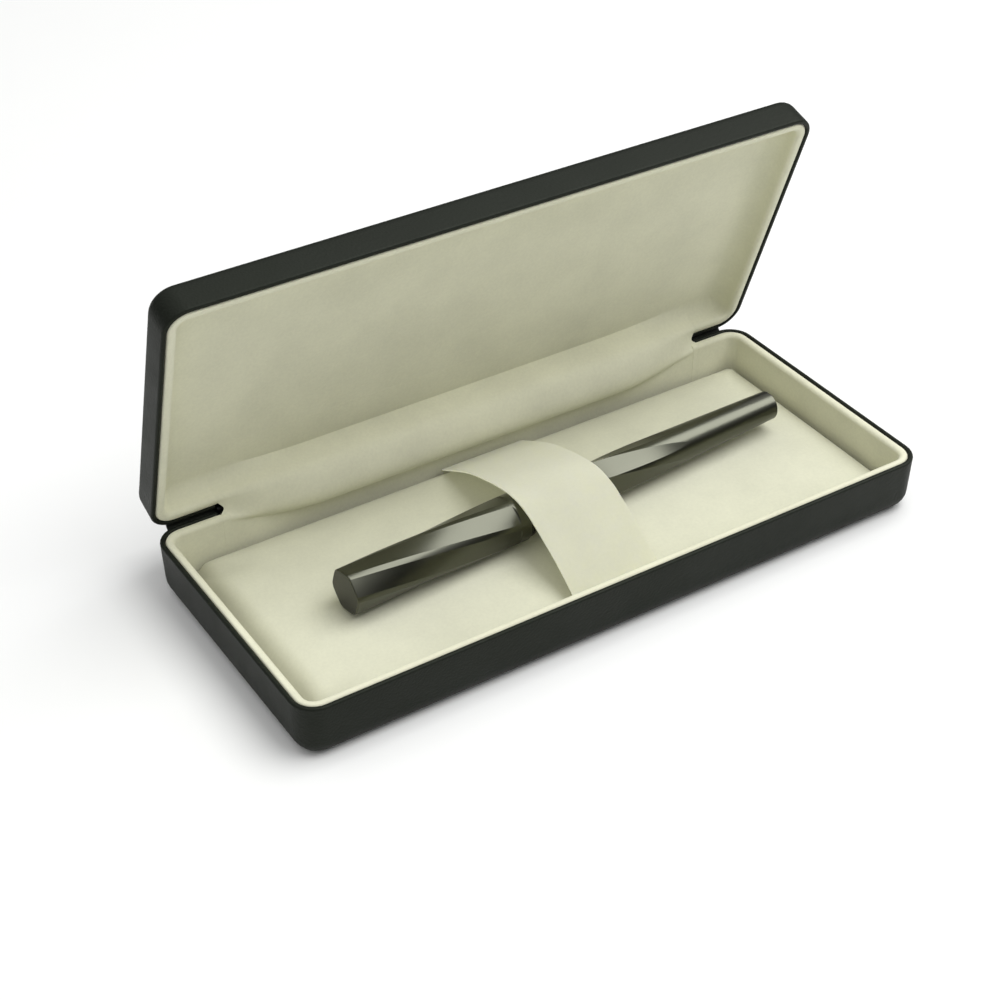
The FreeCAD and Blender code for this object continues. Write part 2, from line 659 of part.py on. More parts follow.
# Hinge: two leaves with knuckles, rivets, pin, spring and the strips that bridge it


def hinge_leaf(half, holes, first):
    """A leaf with every second knuckle, counted from the first."""
    low, high = half.span(half.beside_axis("web_offset"), half.beside_axis("leaf_height"))
    pieces = [box_solid(
        f"{half.name}_leaf_plate",
        ("-hinge_length / 2", LEAF_BACK, low),
        ("hinge_length / 2", LEAF_FACE, high),
    )]
    web_far = half.beside_axis("web_offset + leaf_thickness")
    low, high = half.span(half.beside_axis("web_offset"), web_far)
    pitch = "((hinge_length + knuckle_gap) / knuckle_count)"
    for number in range(first, int(size("knuckle_count")), 2):
        start = f"({number} * {pitch} - hinge_length / 2)"
        end = f"({start} + {pitch} - knuckle_gap)"
        name = f"{half.name}_knuckle_{number}"
        pieces.append(rod_along_x(name, "knuckle_radius", start, end, AXIS_Y, AXIS_Z))
        pieces.append(box_solid(f"{name}_web", (start, LEAF_BACK, low), (end, AXIS_Y, high)))
    bore = rod_along_x(
        f"{half.name}_pin_bore", "pin_radius + pin_clearance",
        "-hinge_length / 2 - overrun", "hinge_length / 2 + overrun", AXIS_Y, AXIS_Z,
    )
    blank = joined(f"{half.name}_leaf_blank", pieces)
    return less(f"{half.name}_leaf_part", blank, joined(f"{half.name}_leaf_tools", [bore, holes]))


def rivets(half):
    pieces = []
    height = half.beside_axis("rivet_offset")
    flush = f"case_width / 2 - cover_thickness - (rivet_offset + rivet_radius) * tan({half.draft})"
    for number, share in enumerate(rivet_shares()):
        name = f"{half.name}_rivet_{number}"
        x = f"{share} * hinge_length"
        pieces.append(rod_along_y(f"{name}_shank", "rivet_radius", LEAF_BACK, flush, x, height))
        head = f"{LEAF_BACK} - rivet_head_height"
        pieces.append(rod_along_y(f"{name}_head", "rivet_head_radius", head, LEAF_BACK, x, height))
    return joined(f"{half.name}_rivet_set", pieces)


def bridge_lift():
    """Angle about the hinge line at which the cloth lifts off the bow, as a number."""
    rise = size("lid_depth") + size("rim_gap") / 2
    reach = size("bridge_reach")
    crease = 180 - size("lid_angle") - math.degrees(math.atan2(rise, reach))
    return crease + math.degrees(math.acos(size("bridge_radius") / math.hypot(rise, reach)))


node(hinge_leaf(BASE, base_holes, 0), "base_hinge_leaf")
node(rivets(BASE), "base_hinge_rivets")
node(hinge_leaf(LID, lid_holes, 1), "lid_hinge_leaf", LID_OPEN)
node(rivets(LID), "lid_hinge_rivets", LID_OPEN)
hinge_pin = rod_along_x("pin", "pin_radius", "-hinge_length / 2", "hinge_length / 2", AXIS_Y, AXIS_Z)
node(hinge_pin, "hinge_pin")

spring = bow(
    "spring", "spring_length / 2", "spring_radius", "spring_thickness",
    180 - size("spring_end_angle") - size("lid_angle"),
    "2 * spring_end_angle + lid_angle",
)
node(spring, "hinge_spring")

# The cloth leaves the lid's panel at a crease, runs straight to the bow and lies on it
bridge_rise = "(lid_depth + rim_gap / 2)"
crease_distance = f"sqrt({bridge_rise} ^ 2 + bridge_reach ^ 2)"
crease_angle = f"180 - lid_angle - atan({bridge_rise} / bridge_reach) / 1deg"
lift_angle = f"({crease_angle} + acos(bridge_radius / {crease_distance}) / 1deg)"
bridge_low_angle = "(180 + acos(bridge_wall / bridge_radius) / 1deg)"
bridge_arch = bow(
    "bridge", "hinge_length / 2", "bridge_radius", "bridge_thickness",
    bridge_lift(), f"{bridge_low_angle} - {lift_angle}",
)
strip_length = f"sqrt({crease_distance} ^ 2 - bridge_radius ^ 2) - bridge_seam"
strip = doc.addObject("Part::Compound", "bridge_strip")
strip.Links = [box_solid(
    "bridge_strip_flat",
    ("-hinge_length / 2", AXIS_Y, f"{AXIS_Z} + bridge_radius - bridge_thickness"),
    ("hinge_length / 2", f"{AXIS_Y} + {strip_length}", f"{AXIS_Z} + bridge_radius"),
)]
strip_turn = Rotation(X_AXIS, bridge_lift() - 90)
strip.Placement = Placement(Vector(), strip_turn, Vector(0, axis_y, axis_z))
bridge_foot = f"({AXIS_Z} - sqrt(bridge_radius ^ 2 - bridge_wall ^ 2) + bridge_thickness)"
bridge_tail = box_solid(
    "bridge_tail",
    ("-hinge_length / 2", f"{AXIS_Y} - bridge_wall", f"{PAD_FLOOR} + bridge_floor_gap"),
    ("hinge_length / 2", f"{AXIS_Y} - bridge_wall + bridge_thickness", bridge_foot),
)
node(joined("bridge_part", [strip, bridge_arch, bridge_tail]), "hinge_cloth")

SPINE_HALF = "(case_length / 2 - corner_radius - spine_end_gap)"
spine_arch = bow(
    "spine", SPINE_HALF, "spine_radius", "spine_thickness", -90, "180 - lid_angle",
)
spine_face = "(case_width / 2 + spine_gap)"


def spine_tail(half):
    """The glued margin of the spine on one half's back wall."""
    root = half.beside_axis("spine_radius - spine_thickness")
    low, high = half.span(root, half.beside_axis("spine_tail"))
    return box_solid(
        f"{half.name}_spine_tail",
        (f"-{SPINE_HALF}", spine_face, low),
        (SPINE_HALF, f"{spine_face} + spine_thickness", high),
    )


lid_tail = doc.addObject("Part::Compound", "lid_spine_margin")
lid_tail.Links = [spine_tail(LID)]
lid_tail.Placement = LID_OPEN
node(joined("spine_part", [spine_arch, spine_tail(BASE), lid_tail]), "hinge_spine")


# Pen: drawn upright from the cap's flat end, then laid on the insert


def twisted_flats(name, corner_low, corner_high, turn, start, end, reach):
    """A prism of flats that turn as they go along the pen; its reach sets how many sections it has."""
    length = f"({end} - {start})"
    count = math.ceil(reach * size("facet_twist") / FACET_STEP) + 1
    sections = []
    for number in range(count):
        share = number / (count - 1) * (1 + 2 * FACET_END_SHARE) - FACET_END_SHARE
        section = doc.addObject("Part::RegularPolygon", f"{name}_section_{number}")
        height = f"({start} + {share} * {length})"
        radius = f"{corner_low} + {share} * ({corner_high} - {corner_low})"
        bind(section, Polygon="facet_count", Circumradius=radius, Placement__Base__z=height)
        bind(section, Placement__Rotation__Angle=f"{turn} + facet_twist * {height}")
        sections.append(section)
    loft = doc.addObject("Part::Loft", f"{name}_flats")
    loft.Sections = sections
    loft.Solid = True
    return loft


def faceted(name, flats, pieces):
    """A round blank with twisted flats cut on it."""
    common = doc.addObject("Part::Common", f"{name}_faceted")
    common.Base = flats
    common.Tool = joined(f"{name}_blank", pieces)
    return common


cap_mouth = "(cap_length - cap_collar)"
cap_reach = size("cap_length")
cap_flats = twisted_flats(
    "cap", f"{FACET_SHARE} * cap_end_radius", f"{FACET_SHARE} * pen_radius", "cap_flat_turn",
    "0", cap_mouth, cap_reach,
)
cap_body = faceted("cap", cap_flats, [
    taper("cap_chamfer", "cap_end_radius - end_chamfer", "cap_end_radius", "0", "end_chamfer"),
    taper("cap_cone", "cap_end_radius", "pen_radius", "end_chamfer", cap_mouth),
])
cap_whole = joined("cap_whole", [cap_body, rod("cap_collar_rod", "pen_radius", cap_mouth, "cap_length")])
cap_bore = rod("cap_bore", "cap_bore_radius", "cap_floor", "cap_length + overrun")
node(less("cap_part", cap_whole, cap_bore), "pen_cap", PEN_PLACE)

sleeve_radius = "(cap_bore_radius - sleeve_fit)"
sleeve = less(
    "sleeve_part",
    rod("sleeve_outside", sleeve_radius, "cap_floor", cap_mouth),
    rod("sleeve_inside", f"{sleeve_radius} - sleeve_thickness", "cap_floor - overrun", "cap_length"),
)
node(sleeve, "cap_sleeve", PEN_PLACE)

barrel_reach = size("pen_length") - size("cap_length")
barrel_corner = "barrel_flat / cos(180 / facet_count)"
barrel_flats = twisted_flats(
    "barrel", barrel_corner, barrel_corner, "barrel_flat_turn", BARREL_START, "pen_length", barrel_reach,
)
barrel_body = faceted("barrel", barrel_flats, [
    taper("barrel_cone", "pen_radius", "barrel_end_radius", BARREL_START, "pen_length - end_chamfer"),
    taper("barrel_chamfer", "barrel_end_radius", "barrel_end_radius - end_chamfer",
          "pen_length - end_chamfer", "pen_length"),
])
barrel_bore = rod("barrel_bore", "barrel_bore_radius", f"{BARREL_START} - overrun", BORE_END)
node(less("barrel_part", barrel_body, barrel_bore), "pen_barrel", PEN_PLACE)

ring_bore = rod("ring_bore", "barrel_bore_radius", RING_FRONT + " - overrun", BARREL_START + " + overrun")
ring = less("ring_part", rod("ring_rod", "ring_radius", RING_FRONT, BARREL_START), ring_bore)
node(ring, "pen_ring", PEN_PLACE)

spigot_end = f"({BARREL_START} + spigot_length)"
grip_solid = joined("grip_solid", [
    taper("grip_nose", "nose_radius", "grip_front_radius", NOSE_FRONT, GRIP_FRONT),
    taper("grip_cone", "grip_front_radius", "grip_radius", GRIP_FRONT, RING_FRONT),
    rod("grip_spigot", "barrel_bore_radius - spigot_clearance", RING_FRONT, spigot_end),
])
grip_room = "refill_radius + refill_clearance"
tip_room = "refill_tip_radius + refill_clearance"
grip_hollow = joined("grip_hollow", [
    rod("grip_bore", grip_room, GRIP_FRONT, f"{spigot_end} + overrun"),
    rod("nose_bore", tip_room, f"{NOSE_FRONT} - overrun", f"{GRIP_FRONT} + overrun"),
])
node(less("grip_part", grip_solid, grip_hollow), "grip_section", PEN_PLACE)

refill_start = f"({GRIP_FRONT} + refill_clearance)"
refill_end = f"({BORE_END} - refill_clearance)"
refill = joined("refill_part", [
    rod("refill_tube", "refill_radius", refill_start, refill_end),
    rod("refill_tip", "refill_tip_radius", f"{NOSE_FRONT} - refill_tip_reach", f"{refill_start} + overrun"),
])
node(refill, "pen_refill", PEN_PLACE)


# Test every object, then write each sub-part
doc.recompute()
for item in doc.Objects:
    if "Invalid" in item.State or "Error" in item.State:
        raise ValueError(f"{item.Name} failed: {item.State}")
for item in NODES:
    if item.Shape.isNull() or not item.Shape.isValid():
        raise ValueError(f"{item.Label} has no valid shape")

os.makedirs("parts", exist_ok=True)
for item in NODES:
    item.Shape.exportStep(os.path.join("parts", item.Label + ".step"))
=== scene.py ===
import json
import math

import bmesh
import bpy
from bpy.props import FloatProperty, FloatVectorProperty, IntProperty, PointerProperty
from mathutils import Matrix, Vector


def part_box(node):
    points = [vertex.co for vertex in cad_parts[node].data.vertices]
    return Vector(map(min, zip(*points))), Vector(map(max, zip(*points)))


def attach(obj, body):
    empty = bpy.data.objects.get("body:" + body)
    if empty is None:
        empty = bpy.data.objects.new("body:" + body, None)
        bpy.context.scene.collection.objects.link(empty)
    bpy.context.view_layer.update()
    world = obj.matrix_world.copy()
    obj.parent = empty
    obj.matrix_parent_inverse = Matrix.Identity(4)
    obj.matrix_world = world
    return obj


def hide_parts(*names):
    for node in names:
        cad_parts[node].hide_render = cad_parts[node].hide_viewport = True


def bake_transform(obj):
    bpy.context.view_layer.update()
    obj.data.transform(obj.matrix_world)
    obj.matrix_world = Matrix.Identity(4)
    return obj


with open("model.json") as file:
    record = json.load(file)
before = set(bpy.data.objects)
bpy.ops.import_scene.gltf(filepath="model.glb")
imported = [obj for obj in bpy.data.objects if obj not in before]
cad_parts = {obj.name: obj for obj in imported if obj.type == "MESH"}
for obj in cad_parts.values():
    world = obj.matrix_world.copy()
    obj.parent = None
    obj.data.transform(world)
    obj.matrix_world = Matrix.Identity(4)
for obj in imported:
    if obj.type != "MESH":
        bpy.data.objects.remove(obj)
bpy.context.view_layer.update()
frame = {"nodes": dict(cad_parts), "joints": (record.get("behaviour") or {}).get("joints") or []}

bl_info = {
    "name": "Pen box",
    "version": (1, 0, 0),
    "blender": (4, 5, 0),
    "location": "View3D > Sidebar > Pen box",
    "description": "Builds a lined, hinged pen box with its pen, ribbon and studio",
    "category": "Object",
}

# X runs along the case, Y from the front to the hinge, Z up, all in metres.
# The lid's pieces are made shut and then swung open about the hinge line.

JOINTS = {joint["name"]: joint for joint in frame["joints"]}
HINGE = Vector(JOINTS["lid_hinge"]["pos_m"])
LID_ANGLE = -math.radians(JOINTS["lid_hinge"]["range_deg"][0])
LID_OPEN = (
    Matrix.Translation(HINGE)
    @ Matrix.Rotation(-LID_ANGLE, 4, "X")
    @ Matrix.Translation(-HINGE)
)
PEN_DIRECTION = Vector(JOINTS["pen_slide"]["axis"]).normalized()
CASE_HALF = Vector(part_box("base_cover")[1])
HIDDEN_GAP = 0.00004    # keeps two glued surfaces from sharing one plane
LEAST_RADIUS = 0.0004   # smallest plan radius of a corner
CUT_DISTANCE = 1e-7     # points this near to a cutting plane lie on it
TINY = 1e-12            # keeps a step of no length from dividing by nothing
SMOOTH_BELOW = math.radians(35)     # edges that bend less are shaded smooth
QUARTER = math.pi / 2


def length(name, default, description):
    """A size that a user may change, in metres."""
    return FloatProperty(
        name=name, description=description, default=default, min=0.0, unit="LENGTH", precision=5
    )


def colour(name, default, description):
    """A colour that a user may change, as linear red, green and blue."""
    return FloatVectorProperty(
        name=name, description=description, default=default, size=3,
        min=0.0, max=1.0, subtype="COLOR",
    )


def angle(name, degrees, description):
    """An angle that a user may change."""
    return FloatProperty(
        name=name, description=description, default=math.radians(degrees), unit="ROTATION"
    )


def amount(name, default, description, **limits):
    """A plain number that a user may change."""
    return FloatProperty(name=name, description=description, default=default, **limits)


def position(name, default, description):
    """A place that a user may change, in metres."""
    return FloatVectorProperty(
        name=name, description=description, default=default, size=3,
        subtype="TRANSLATION", unit="LENGTH",
    )


class CaseSettings(bpy.types.PropertyGroup):
    """Sizes and colour of the covered trays"""

    corner_radius: length("Corner radius", 0.0064, "Plan radius of the case's corners")
    base_draft: angle("Base draft", 2.0, "Lean of the base's walls")
    base_edge: length("Base edge", 0.0048, "Rounding along the underside")
    lid_height: length("Lid height", 0.0092, "Lid's rim to its top")
    lid_draft: angle("Lid draft", 1.0, "Lean of the lid's walls")
    lid_edge: length("Lid edge", 0.0028, "Rounding along the lid's top")
    rim_gap: length("Rim gap", 0.0003, "Gap between the rims when shut")
    rim_width: length("Rim width", 0.0013, "Covered rim, outside to inside")
    rim_round: length("Rim rounding", 0.00055, "Rounding of the covered rim")
    cover_thickness: length("Cover thickness", 0.00048, "Leatherette")
    hem_depth: length("Hem depth", 0.002, "How far the cover turns in over the rim")
    hem_thickness: length("Hem thickness", 0.00028, "Pared edge of the cover")
    window_half: length("Window half length", 0.0718, "Opening for the hinge, from the middle")
    window_drop: length("Window drop", 0.00125, "Opening for the hinge, below the hinge line")
    leather: colour("Leatherette", (0.0075, 0.0093, 0.0066), "Cover of the case")


class LiningSettings(bpy.types.PropertyGroup):
    """Sizes and colour of the cloth lining"""

    lip_drop: length("Lip drop", 0.0001, "Lining's lip below the rim")
    lip_outer: length("Lip outer rounding", 0.0006, "Rounding of the lip beside the rim")
    lip_inner: length("Lip inner rounding", 0.0012, "Rounding of the lip inside")
    tuck: length("Tuck", 0.0018, "Cloth tucked down between lip and rim")
    base_wall: length("Base wall", 0.0035, "Rim's outside to the lined wall of the base")
    lid_wall: length("Lid wall", 0.0038, "Rim's outside to the lined wall of the lid")
    lid_depth: length("Lid depth", 0.0063, "Lid's rim to its lined panel")
    panel_round: length("Panel rounding", 0.004, "Soft corner between lid wall and panel")
    floor: length("Floor", 0.00125, "Lower edge of the base's lining")
    turn_in: length("Turn-in", 0.0022, "Lining turned in along the base's floor")
    cloth_thickness: length("Cloth thickness", 0.0004, "Lining cloth")
    cloth: colour("Cloth", (0.78, 0.775, 0.6), "Lining cloth")


class HingeSettings(bpy.types.PropertyGroup):
    """Sizes of the cloth, spring and spine at the hinge"""

    bow_radius: length("Bow radius", 0.0062, "Outside of the hinge cloth")
    sag_radius: length("Sag radius", 0.0071, "Outside of the hinge cloth where it hangs lowest")
    sag_from: angle("Sag from", 150.0, "Where the cloth starts to sag, about the hinge line")
    sag_to: angle("Sag to", 215.0, "Where the cloth hangs lowest, about the hinge line")
    crease_reach: length("Crease reach", 0.0057, "Hinge line to the crease on the lid's panel")
    overlap: length("Overlap", 0.016, "Hinge line to the cloth's glued edge on the panel")
    wall: length("Wall", 0.0029, "Hinge line to the cloth's tail in the base")
    tail_foot: length("Tail foot", 0.0024, "Height of the tail's lower edge")
    cloth_half: length("Cloth half length", 0.0727, "Hinge cloth, from its middle")
    cloth_shift: length("Cloth shift", 0.0012, "Middle of the hinge cloth from the case's middle")
    opening_half: length("Opening half length", 0.0705, "Opening in the lining")
    end_run: length("End run", 0.029, "Stretch in which the bow grows from the lips")
    valley: length("Valley", 0.0007, "How far the cloth dips between the lips at its ends")
    notch: length("Notch", 0.0014, "Rounding of the slots beside the cloth")
    cloth_thickness: length("Cloth thickness", 0.00035, "Hinge cloth")
    spring_radius: length("Spring radius", 0.0056, "Outside of the bowed spring")
    spring_half: length("Spring half length", 0.068, "Bowed spring, from its middle")
    spring_thickness: length("Spring thickness", 0.0004, "Bowed spring")
    spring_room: length("Spring room", 0.0002, "Spring to the cloth over it")
    spine_radius: length("Spine radius", 0.0016, "Outside of the spine")
    spine_half: length("Spine half length", 0.0842, "Spine, from its middle")
    spine_offset: length("Spine offset", 0.00035, "Hinge line to the outside of the glued edges")
    spine_tail: length("Spine tail", 0.0045, "Hinge line to the glued edges")
    spine_thickness: length("Spine thickness", 0.00042, "Spine")


class PadSettings(bpy.types.PropertyGroup):
    """Sizes and colour of the padded insert"""

    corner_radius: length("Corner radius", 0.0016, "Plan radius of the corners")
    edge_round: length("Edge rounding", 0.0011, "Rounding along the top")
    crown: length("Crown", 0.0002, "Rise of the top above its edges before it swells")
    slack: length("Slack", 0.00035, "How much smaller the insert starts, and how far it may swell")
    end_start: length("Rolled end", 0.0756, "Start of the left end's roll, from the middle")
    end_round: length("Rolled end rounding", 0.0056, "Rounding of the left end")
    voxel: length("Voxel", 0.0012, "Cell size of the swelling cloth")
    pressure: amount("Pressure", 4.0, "Pressure that swells the insert")
    cloth: colour("Pad cloth", (0.69, 0.69, 0.545), "Cloth over the insert")
    # Painted shade: colour that darkens the pad cloth towards its foot, for the shade in the
    # crevices round the insert
    painted_shade: colour("Dust", (0.2, 0.19, 0.14), "Shade of the cloth at the insert's foot")


class RibbonSettings(bpy.types.PropertyGroup):
    """Sizes and colour of the ribbon"""

    width: length("Width", 0.0246, "Edge to edge")
    thickness: length("Thickness", 0.00032, "Ribbon")
    shift: length("Shift", 0.001, "Ribbon's middle from the case's middle")
    skew: angle("Skew", 2.4, "Turn from straight across")
    reach: length("Reach", 0.03384, "Middle to the tucked ends")
    tuck: length("Tuck", 0.003, "Length tucked down beside the insert")
    start: length("Start", 0.0059, "Height at which the ribbon leaves the tuck")
    rise: length("Rise", 0.01384, "From there to its crown")
    # Painted light: the underside glows, standing in for light that comes through the silk
    painted_glow: amount("Glow", 0.36, "Light that comes through to the underside", min=0.0)
    silk: colour("Ribbon", (0.63, 0.63, 0.51), "Ribbon")


class PenSettings(bpy.types.PropertyGroup):
    """Sizes and colour of the pen"""

    left: length("Left", 0.0594, "Cap's end left of the case's middle")
    front: length("Front", 0.00394, "Cap's end in front of the case's middle")
    height: length("Height", 0.01305, "Pen's axis above the ground")
    pen_length: length("Length", 0.1328, "Pen, end to end")
    radius: length("Radius", 0.0063, "Pen at its widest")
    cap_length: length("Cap length", 0.05, "Cap")
    cap_end: length("Cap end radius", 0.0058, "Cap's flat end")
    collar: length("Collar", 0.0036, "Plain round stretch at the cap's mouth")
    cove: length("Cove", 0.0006, "Run-out of the flats at the collar")
    bore: length("Bore", 0.0046, "Cap's bore")
    cap_floor: length("Cap floor", 0.0024, "Cap's closed end")
    ring_start: length("Ring start", 0.05015, "Cap's end to the ring")
    barrel_start: length("Barrel start", 0.05175, "Cap's end to the barrel")
    ring_radius: length("Ring radius", 0.0059, "Ring between cap and barrel")
    tail: length("Tail radius", 0.00385, "Barrel's far end")
    chamfer: length("Chamfer", 0.00035, "Edges of the ends")
    flats: IntProperty(name="Flats", description="Flats round the pen", default=6, min=3)
    flat_end: amount(
        "Flats at the end", 0.92, "Cap's flats from its axis at its end, of the radius",
        min=0.5, max=1.0,
    )
    flat_mouth: amount(
        "Flats at the mouth", 0.915, "Cap's flats from its axis at its mouth, of the radius",
        min=0.5, max=1.0,
    )
    flat_bulge: amount(
        "Flats' bulge", 0.2, "How far the cap's flats swell back towards the round",
        min=0.0, max=1.0,
    )
    barrel_flat: length("Barrel flats", 0.0048, "Barrel's flats, from its axis")
    twist: amount("Twist", 1.2, "Turn of the flats, degrees for each millimetre")
    cap_turn: angle("Cap turn", 18.2, "Turn of the cap's flats at its end")
    barrel_turn: angle("Barrel turn", 21.9, "Turn of the barrel's flats, from the cap's end")
    metal: colour("Metal", (0.099, 0.101, 0.08), "Pen's body")


class FinishSettings(bpy.types.PropertyGroup):
    """Colours of the steel, card and writing parts"""

    steel: colour("Steel", (0.55, 0.55, 0.53), "Trays and spring")
    # The trim is also put on the cap's end face, as painted shade for the shaded things it mirrors
    trim: colour("Trim", (0.05, 0.05, 0.045), "Pen's ring and end")
    blackened: colour("Blackened steel", (0.012, 0.012, 0.012), "Hinge leaves, pin and rivets")
    card: colour("Card", (0.36, 0.33, 0.26), "Walls and boards under the cloth")
    grip: colour("Grip", (0.02, 0.02, 0.02), "Pen's grip section")
    brass: colour("Brass", (0.62, 0.45, 0.2), "Pen's refill")


class StageSettings(bpy.types.PropertyGroup):
    """Camera, lights and floor"""

    camera: position("Camera", (-0.2230, -0.3245, 0.30545), "Place of the camera")
    aim: FloatVectorProperty(
        name="Aim", description="Direction in which the camera looks", size=3,
        default=(0.4350, 0.6752, -0.5957), subtype="DIRECTION",
    )
    lens: amount("Lens", 71.4, "Focal length, mm", min=1.0)
    floor: colour("Floor", (0.95, 0.955, 0.945), "Floor and backdrop")
    floor_half: length("Floor half size", 1.3, "Floor, from its middle")
    sky: colour("Sky", (1.0, 1.0, 1.0), "Light from all sides")
    sky_strength: amount("Sky strength", 0.86, "Light from above")
    horizon_strength: amount("Horizon strength", 0.06, "Light from the horizon")
    sky_low: angle("Sky low", 12.0, "Elevation at which the sky starts to grow brighter")
    sky_high: angle("Sky high", 50.0, "Elevation at which the sky is brightest")
    top_place: position("Top light", (0.5, -0.32, 1.15), "Place of the large soft light")
    top_power: amount("Top power", 12.0, "Large soft light above")
    card_place: position("Card", (1.35, -0.33, 1.15), "Place of the white card")
    card_power: amount("Card power", 13.0, "White card that only the bright metal mirrors")


# Helpers for meshes


def finished(name, bm, material, body=None, smooth_below=SMOOTH_BELOW):
    """Turns a bmesh into a piece with a material, riding on a body where one is named."""
    for face in bm.faces:
        face.smooth = True
    for edge in bm.edges:
        edge.smooth = not edge.is_manifold or edge.calc_face_angle() < smooth_below
    mesh = bpy.data.meshes.new(name)
    bm.to_mesh(mesh)
    bm.free()
    mesh.materials.append(material)
    piece = bpy.data.objects.new(name, mesh)
    bpy.context.scene.collection.objects.link(piece)
    if body:
        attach(piece, body)
    return piece


def arc(centre, radius, start, end, steps):
    """Points along an arc of a section, angles in radians."""
    turns = [start + (end - start) * step / steps for step in range(steps + 1)]
    return [
        (centre[0] + radius * math.cos(turn), centre[1] + radius * math.sin(turn))
        for turn in turns
    ]


def spaced(line, count):
    """The same line of a section with that many evenly spaced points."""
    points = [Vector(point) for point in line]
    ends = [0.0]
    for near, far in zip(points, points[1:]):
        ends.append(ends[-1] + (far - near).length)
    made = []
    run = 0
    for step in range(count):
        target = ends[-1] * step / (count - 1)
        while run < len(points) - 2 and ends[run + 1] < target:
            run += 1
        share = (target - ends[run]) / max(ends[run + 1] - ends[run], TINY)
        made.append(points[run].lerp(points[run + 1], min(share, 1.0)))
    return made


def smoothstep(share):
    """Eases from 0 to 1."""
    share = min(max(share, 0.0), 1.0)
    return share * share * (3 - 2 * share)


PLAN_STEPS = 8      # divisions of a round corner of the plan


def plan_loop(bm, half, radius):
    """A rectangle with round corners, as a loop of edges round the case."""
    made = bmesh.ops.create_grid(bm, x_segments=1, y_segments=1, size=1.0)
    bmesh.ops.scale(bm, vec=(half.x, half.y, 1.0), verts=made["verts"])
    bmesh.ops.bevel(
        bm, geom=made["verts"], offset=radius, offset_type="OFFSET", segments=PLAN_STEPS,
        profile=0.5, affect="VERTICES", material=-1,
    )
    bmesh.ops.delete(bm, geom=list(bm.faces), context="FACES_ONLY")
    return list(bm.edges)


def clamped(value, limit):
    """Value kept between -limit and limit."""
    return max(-limit, min(limit, value))


def extruded(bm, edges):
    """Extrudes a row of edges, and gives the new points and the new row."""
    made = bmesh.ops.extrude_edge_only(bm, edges=edges)["geom"]
    verts = {item for item in made if isinstance(item, bmesh.types.BMVert)}
    row = [
        item for item in made
        if isinstance(item, bmesh.types.BMEdge) and verts.issuperset(item.verts)
    ]
    return verts, row


def sweep_round(bm, half, radius, profile, fill_first=False, fill_last=False):
    """Carries a profile of (inset, height) points round the plan of the case."""
    edges = plan_loop(bm, half, radius)
    inset = 0.0
    corner = radius
    first = True
    for next_inset, height in profile:
        if first:
            verts = set(bm.verts)
        else:
            verts, edges = extruded(bm, edges)
        next_corner = max(radius - next_inset, LEAST_RADIUS)
        for vert in verts:
            near = Vector((
                clamped(vert.co.x, half.x - inset - corner),
                clamped(vert.co.y, half.y - inset - corner),
            ))
            out = (vert.co.xy - near).normalized()
            vert.co.x = clamped(near.x, half.x - next_inset - next_corner) + out.x * next_corner
            vert.co.y = clamped(near.y, half.y - next_inset - next_corner) + out.y * next_corner
            vert.co.z = height
        if first and fill_first:
            bmesh.ops.edgeloop_fill(bm, edges=edges)
        inset = next_inset
        corner = next_corner
        first = False
    if fill_last:
        bmesh.ops.edgeloop_fill(bm, edges=edges)


def cut_across(bm, place, normal):
    """Cuts a mesh along a plane."""
    geom = list(bm.verts) + list(bm.edges) + list(bm.faces)
    bmesh.ops.bisect_plane(bm, geom=geom, plane_co=place, plane_no=normal, dist=CUT_DISTANCE)


def cut_out(bm, low, high):
    """Cuts a sheet along the sides of a box and takes out what lies inside it."""
    cut_across(bm, (low[0], 0.0, 0.0), (-1.0, 0.0, 0.0))
    cut_across(bm, (high[0], 0.0, 0.0), (1.0, 0.0, 0.0))
    cut_across(bm, (0.0, low[1], 0.0), (0.0, -1.0, 0.0))
    inside = [
        face for face in bm.faces
        if all(low[i] < face.calc_center_median()[i] < high[i] for i in range(2))
    ]
    bmesh.ops.delete(bm, geom=inside, context="FACES")


def thickened(bm, thickness):
    """Turns a sheet's faces outwards and gives it its thickness, away from them."""
    bmesh.ops.recalc_face_normals(bm, faces=bm.faces)
    bmesh.ops.solidify(bm, geom=list(bm.faces), thickness=thickness)


def shown_mesh(piece):
    """A mesh of the piece as its modifiers show it."""
    shown = piece.evaluated_get(bpy.context.evaluated_depsgraph_get())
    return bpy.data.meshes.new_from_object(shown)


def window_cut(piece, low, high):
    """Takes a box out of a closed piece and keeps it closed."""
    bm = bmesh.new()
    bmesh.ops.create_cube(bm, size=1.0)
    bmesh.ops.scale(bm, vec=high - low, verts=bm.verts)
    bmesh.ops.translate(bm, vec=(high + low) / 2, verts=bm.verts)
    mesh = bpy.data.meshes.new("window")
    bm.to_mesh(mesh)
    bm.free()
    cutter = bpy.data.objects.new("window", mesh)
    bpy.context.scene.collection.objects.link(cutter)
    cut = piece.modifiers.new("window", "BOOLEAN")
    cut.operation = "DIFFERENCE"
    cut.solver = "EXACT"
    cut.object = cutter
    cut_mesh = shown_mesh(piece)
    piece.modifiers.clear()
    piece.data = cut_mesh
    bpy.data.objects.remove(cutter)


# Helpers for materials


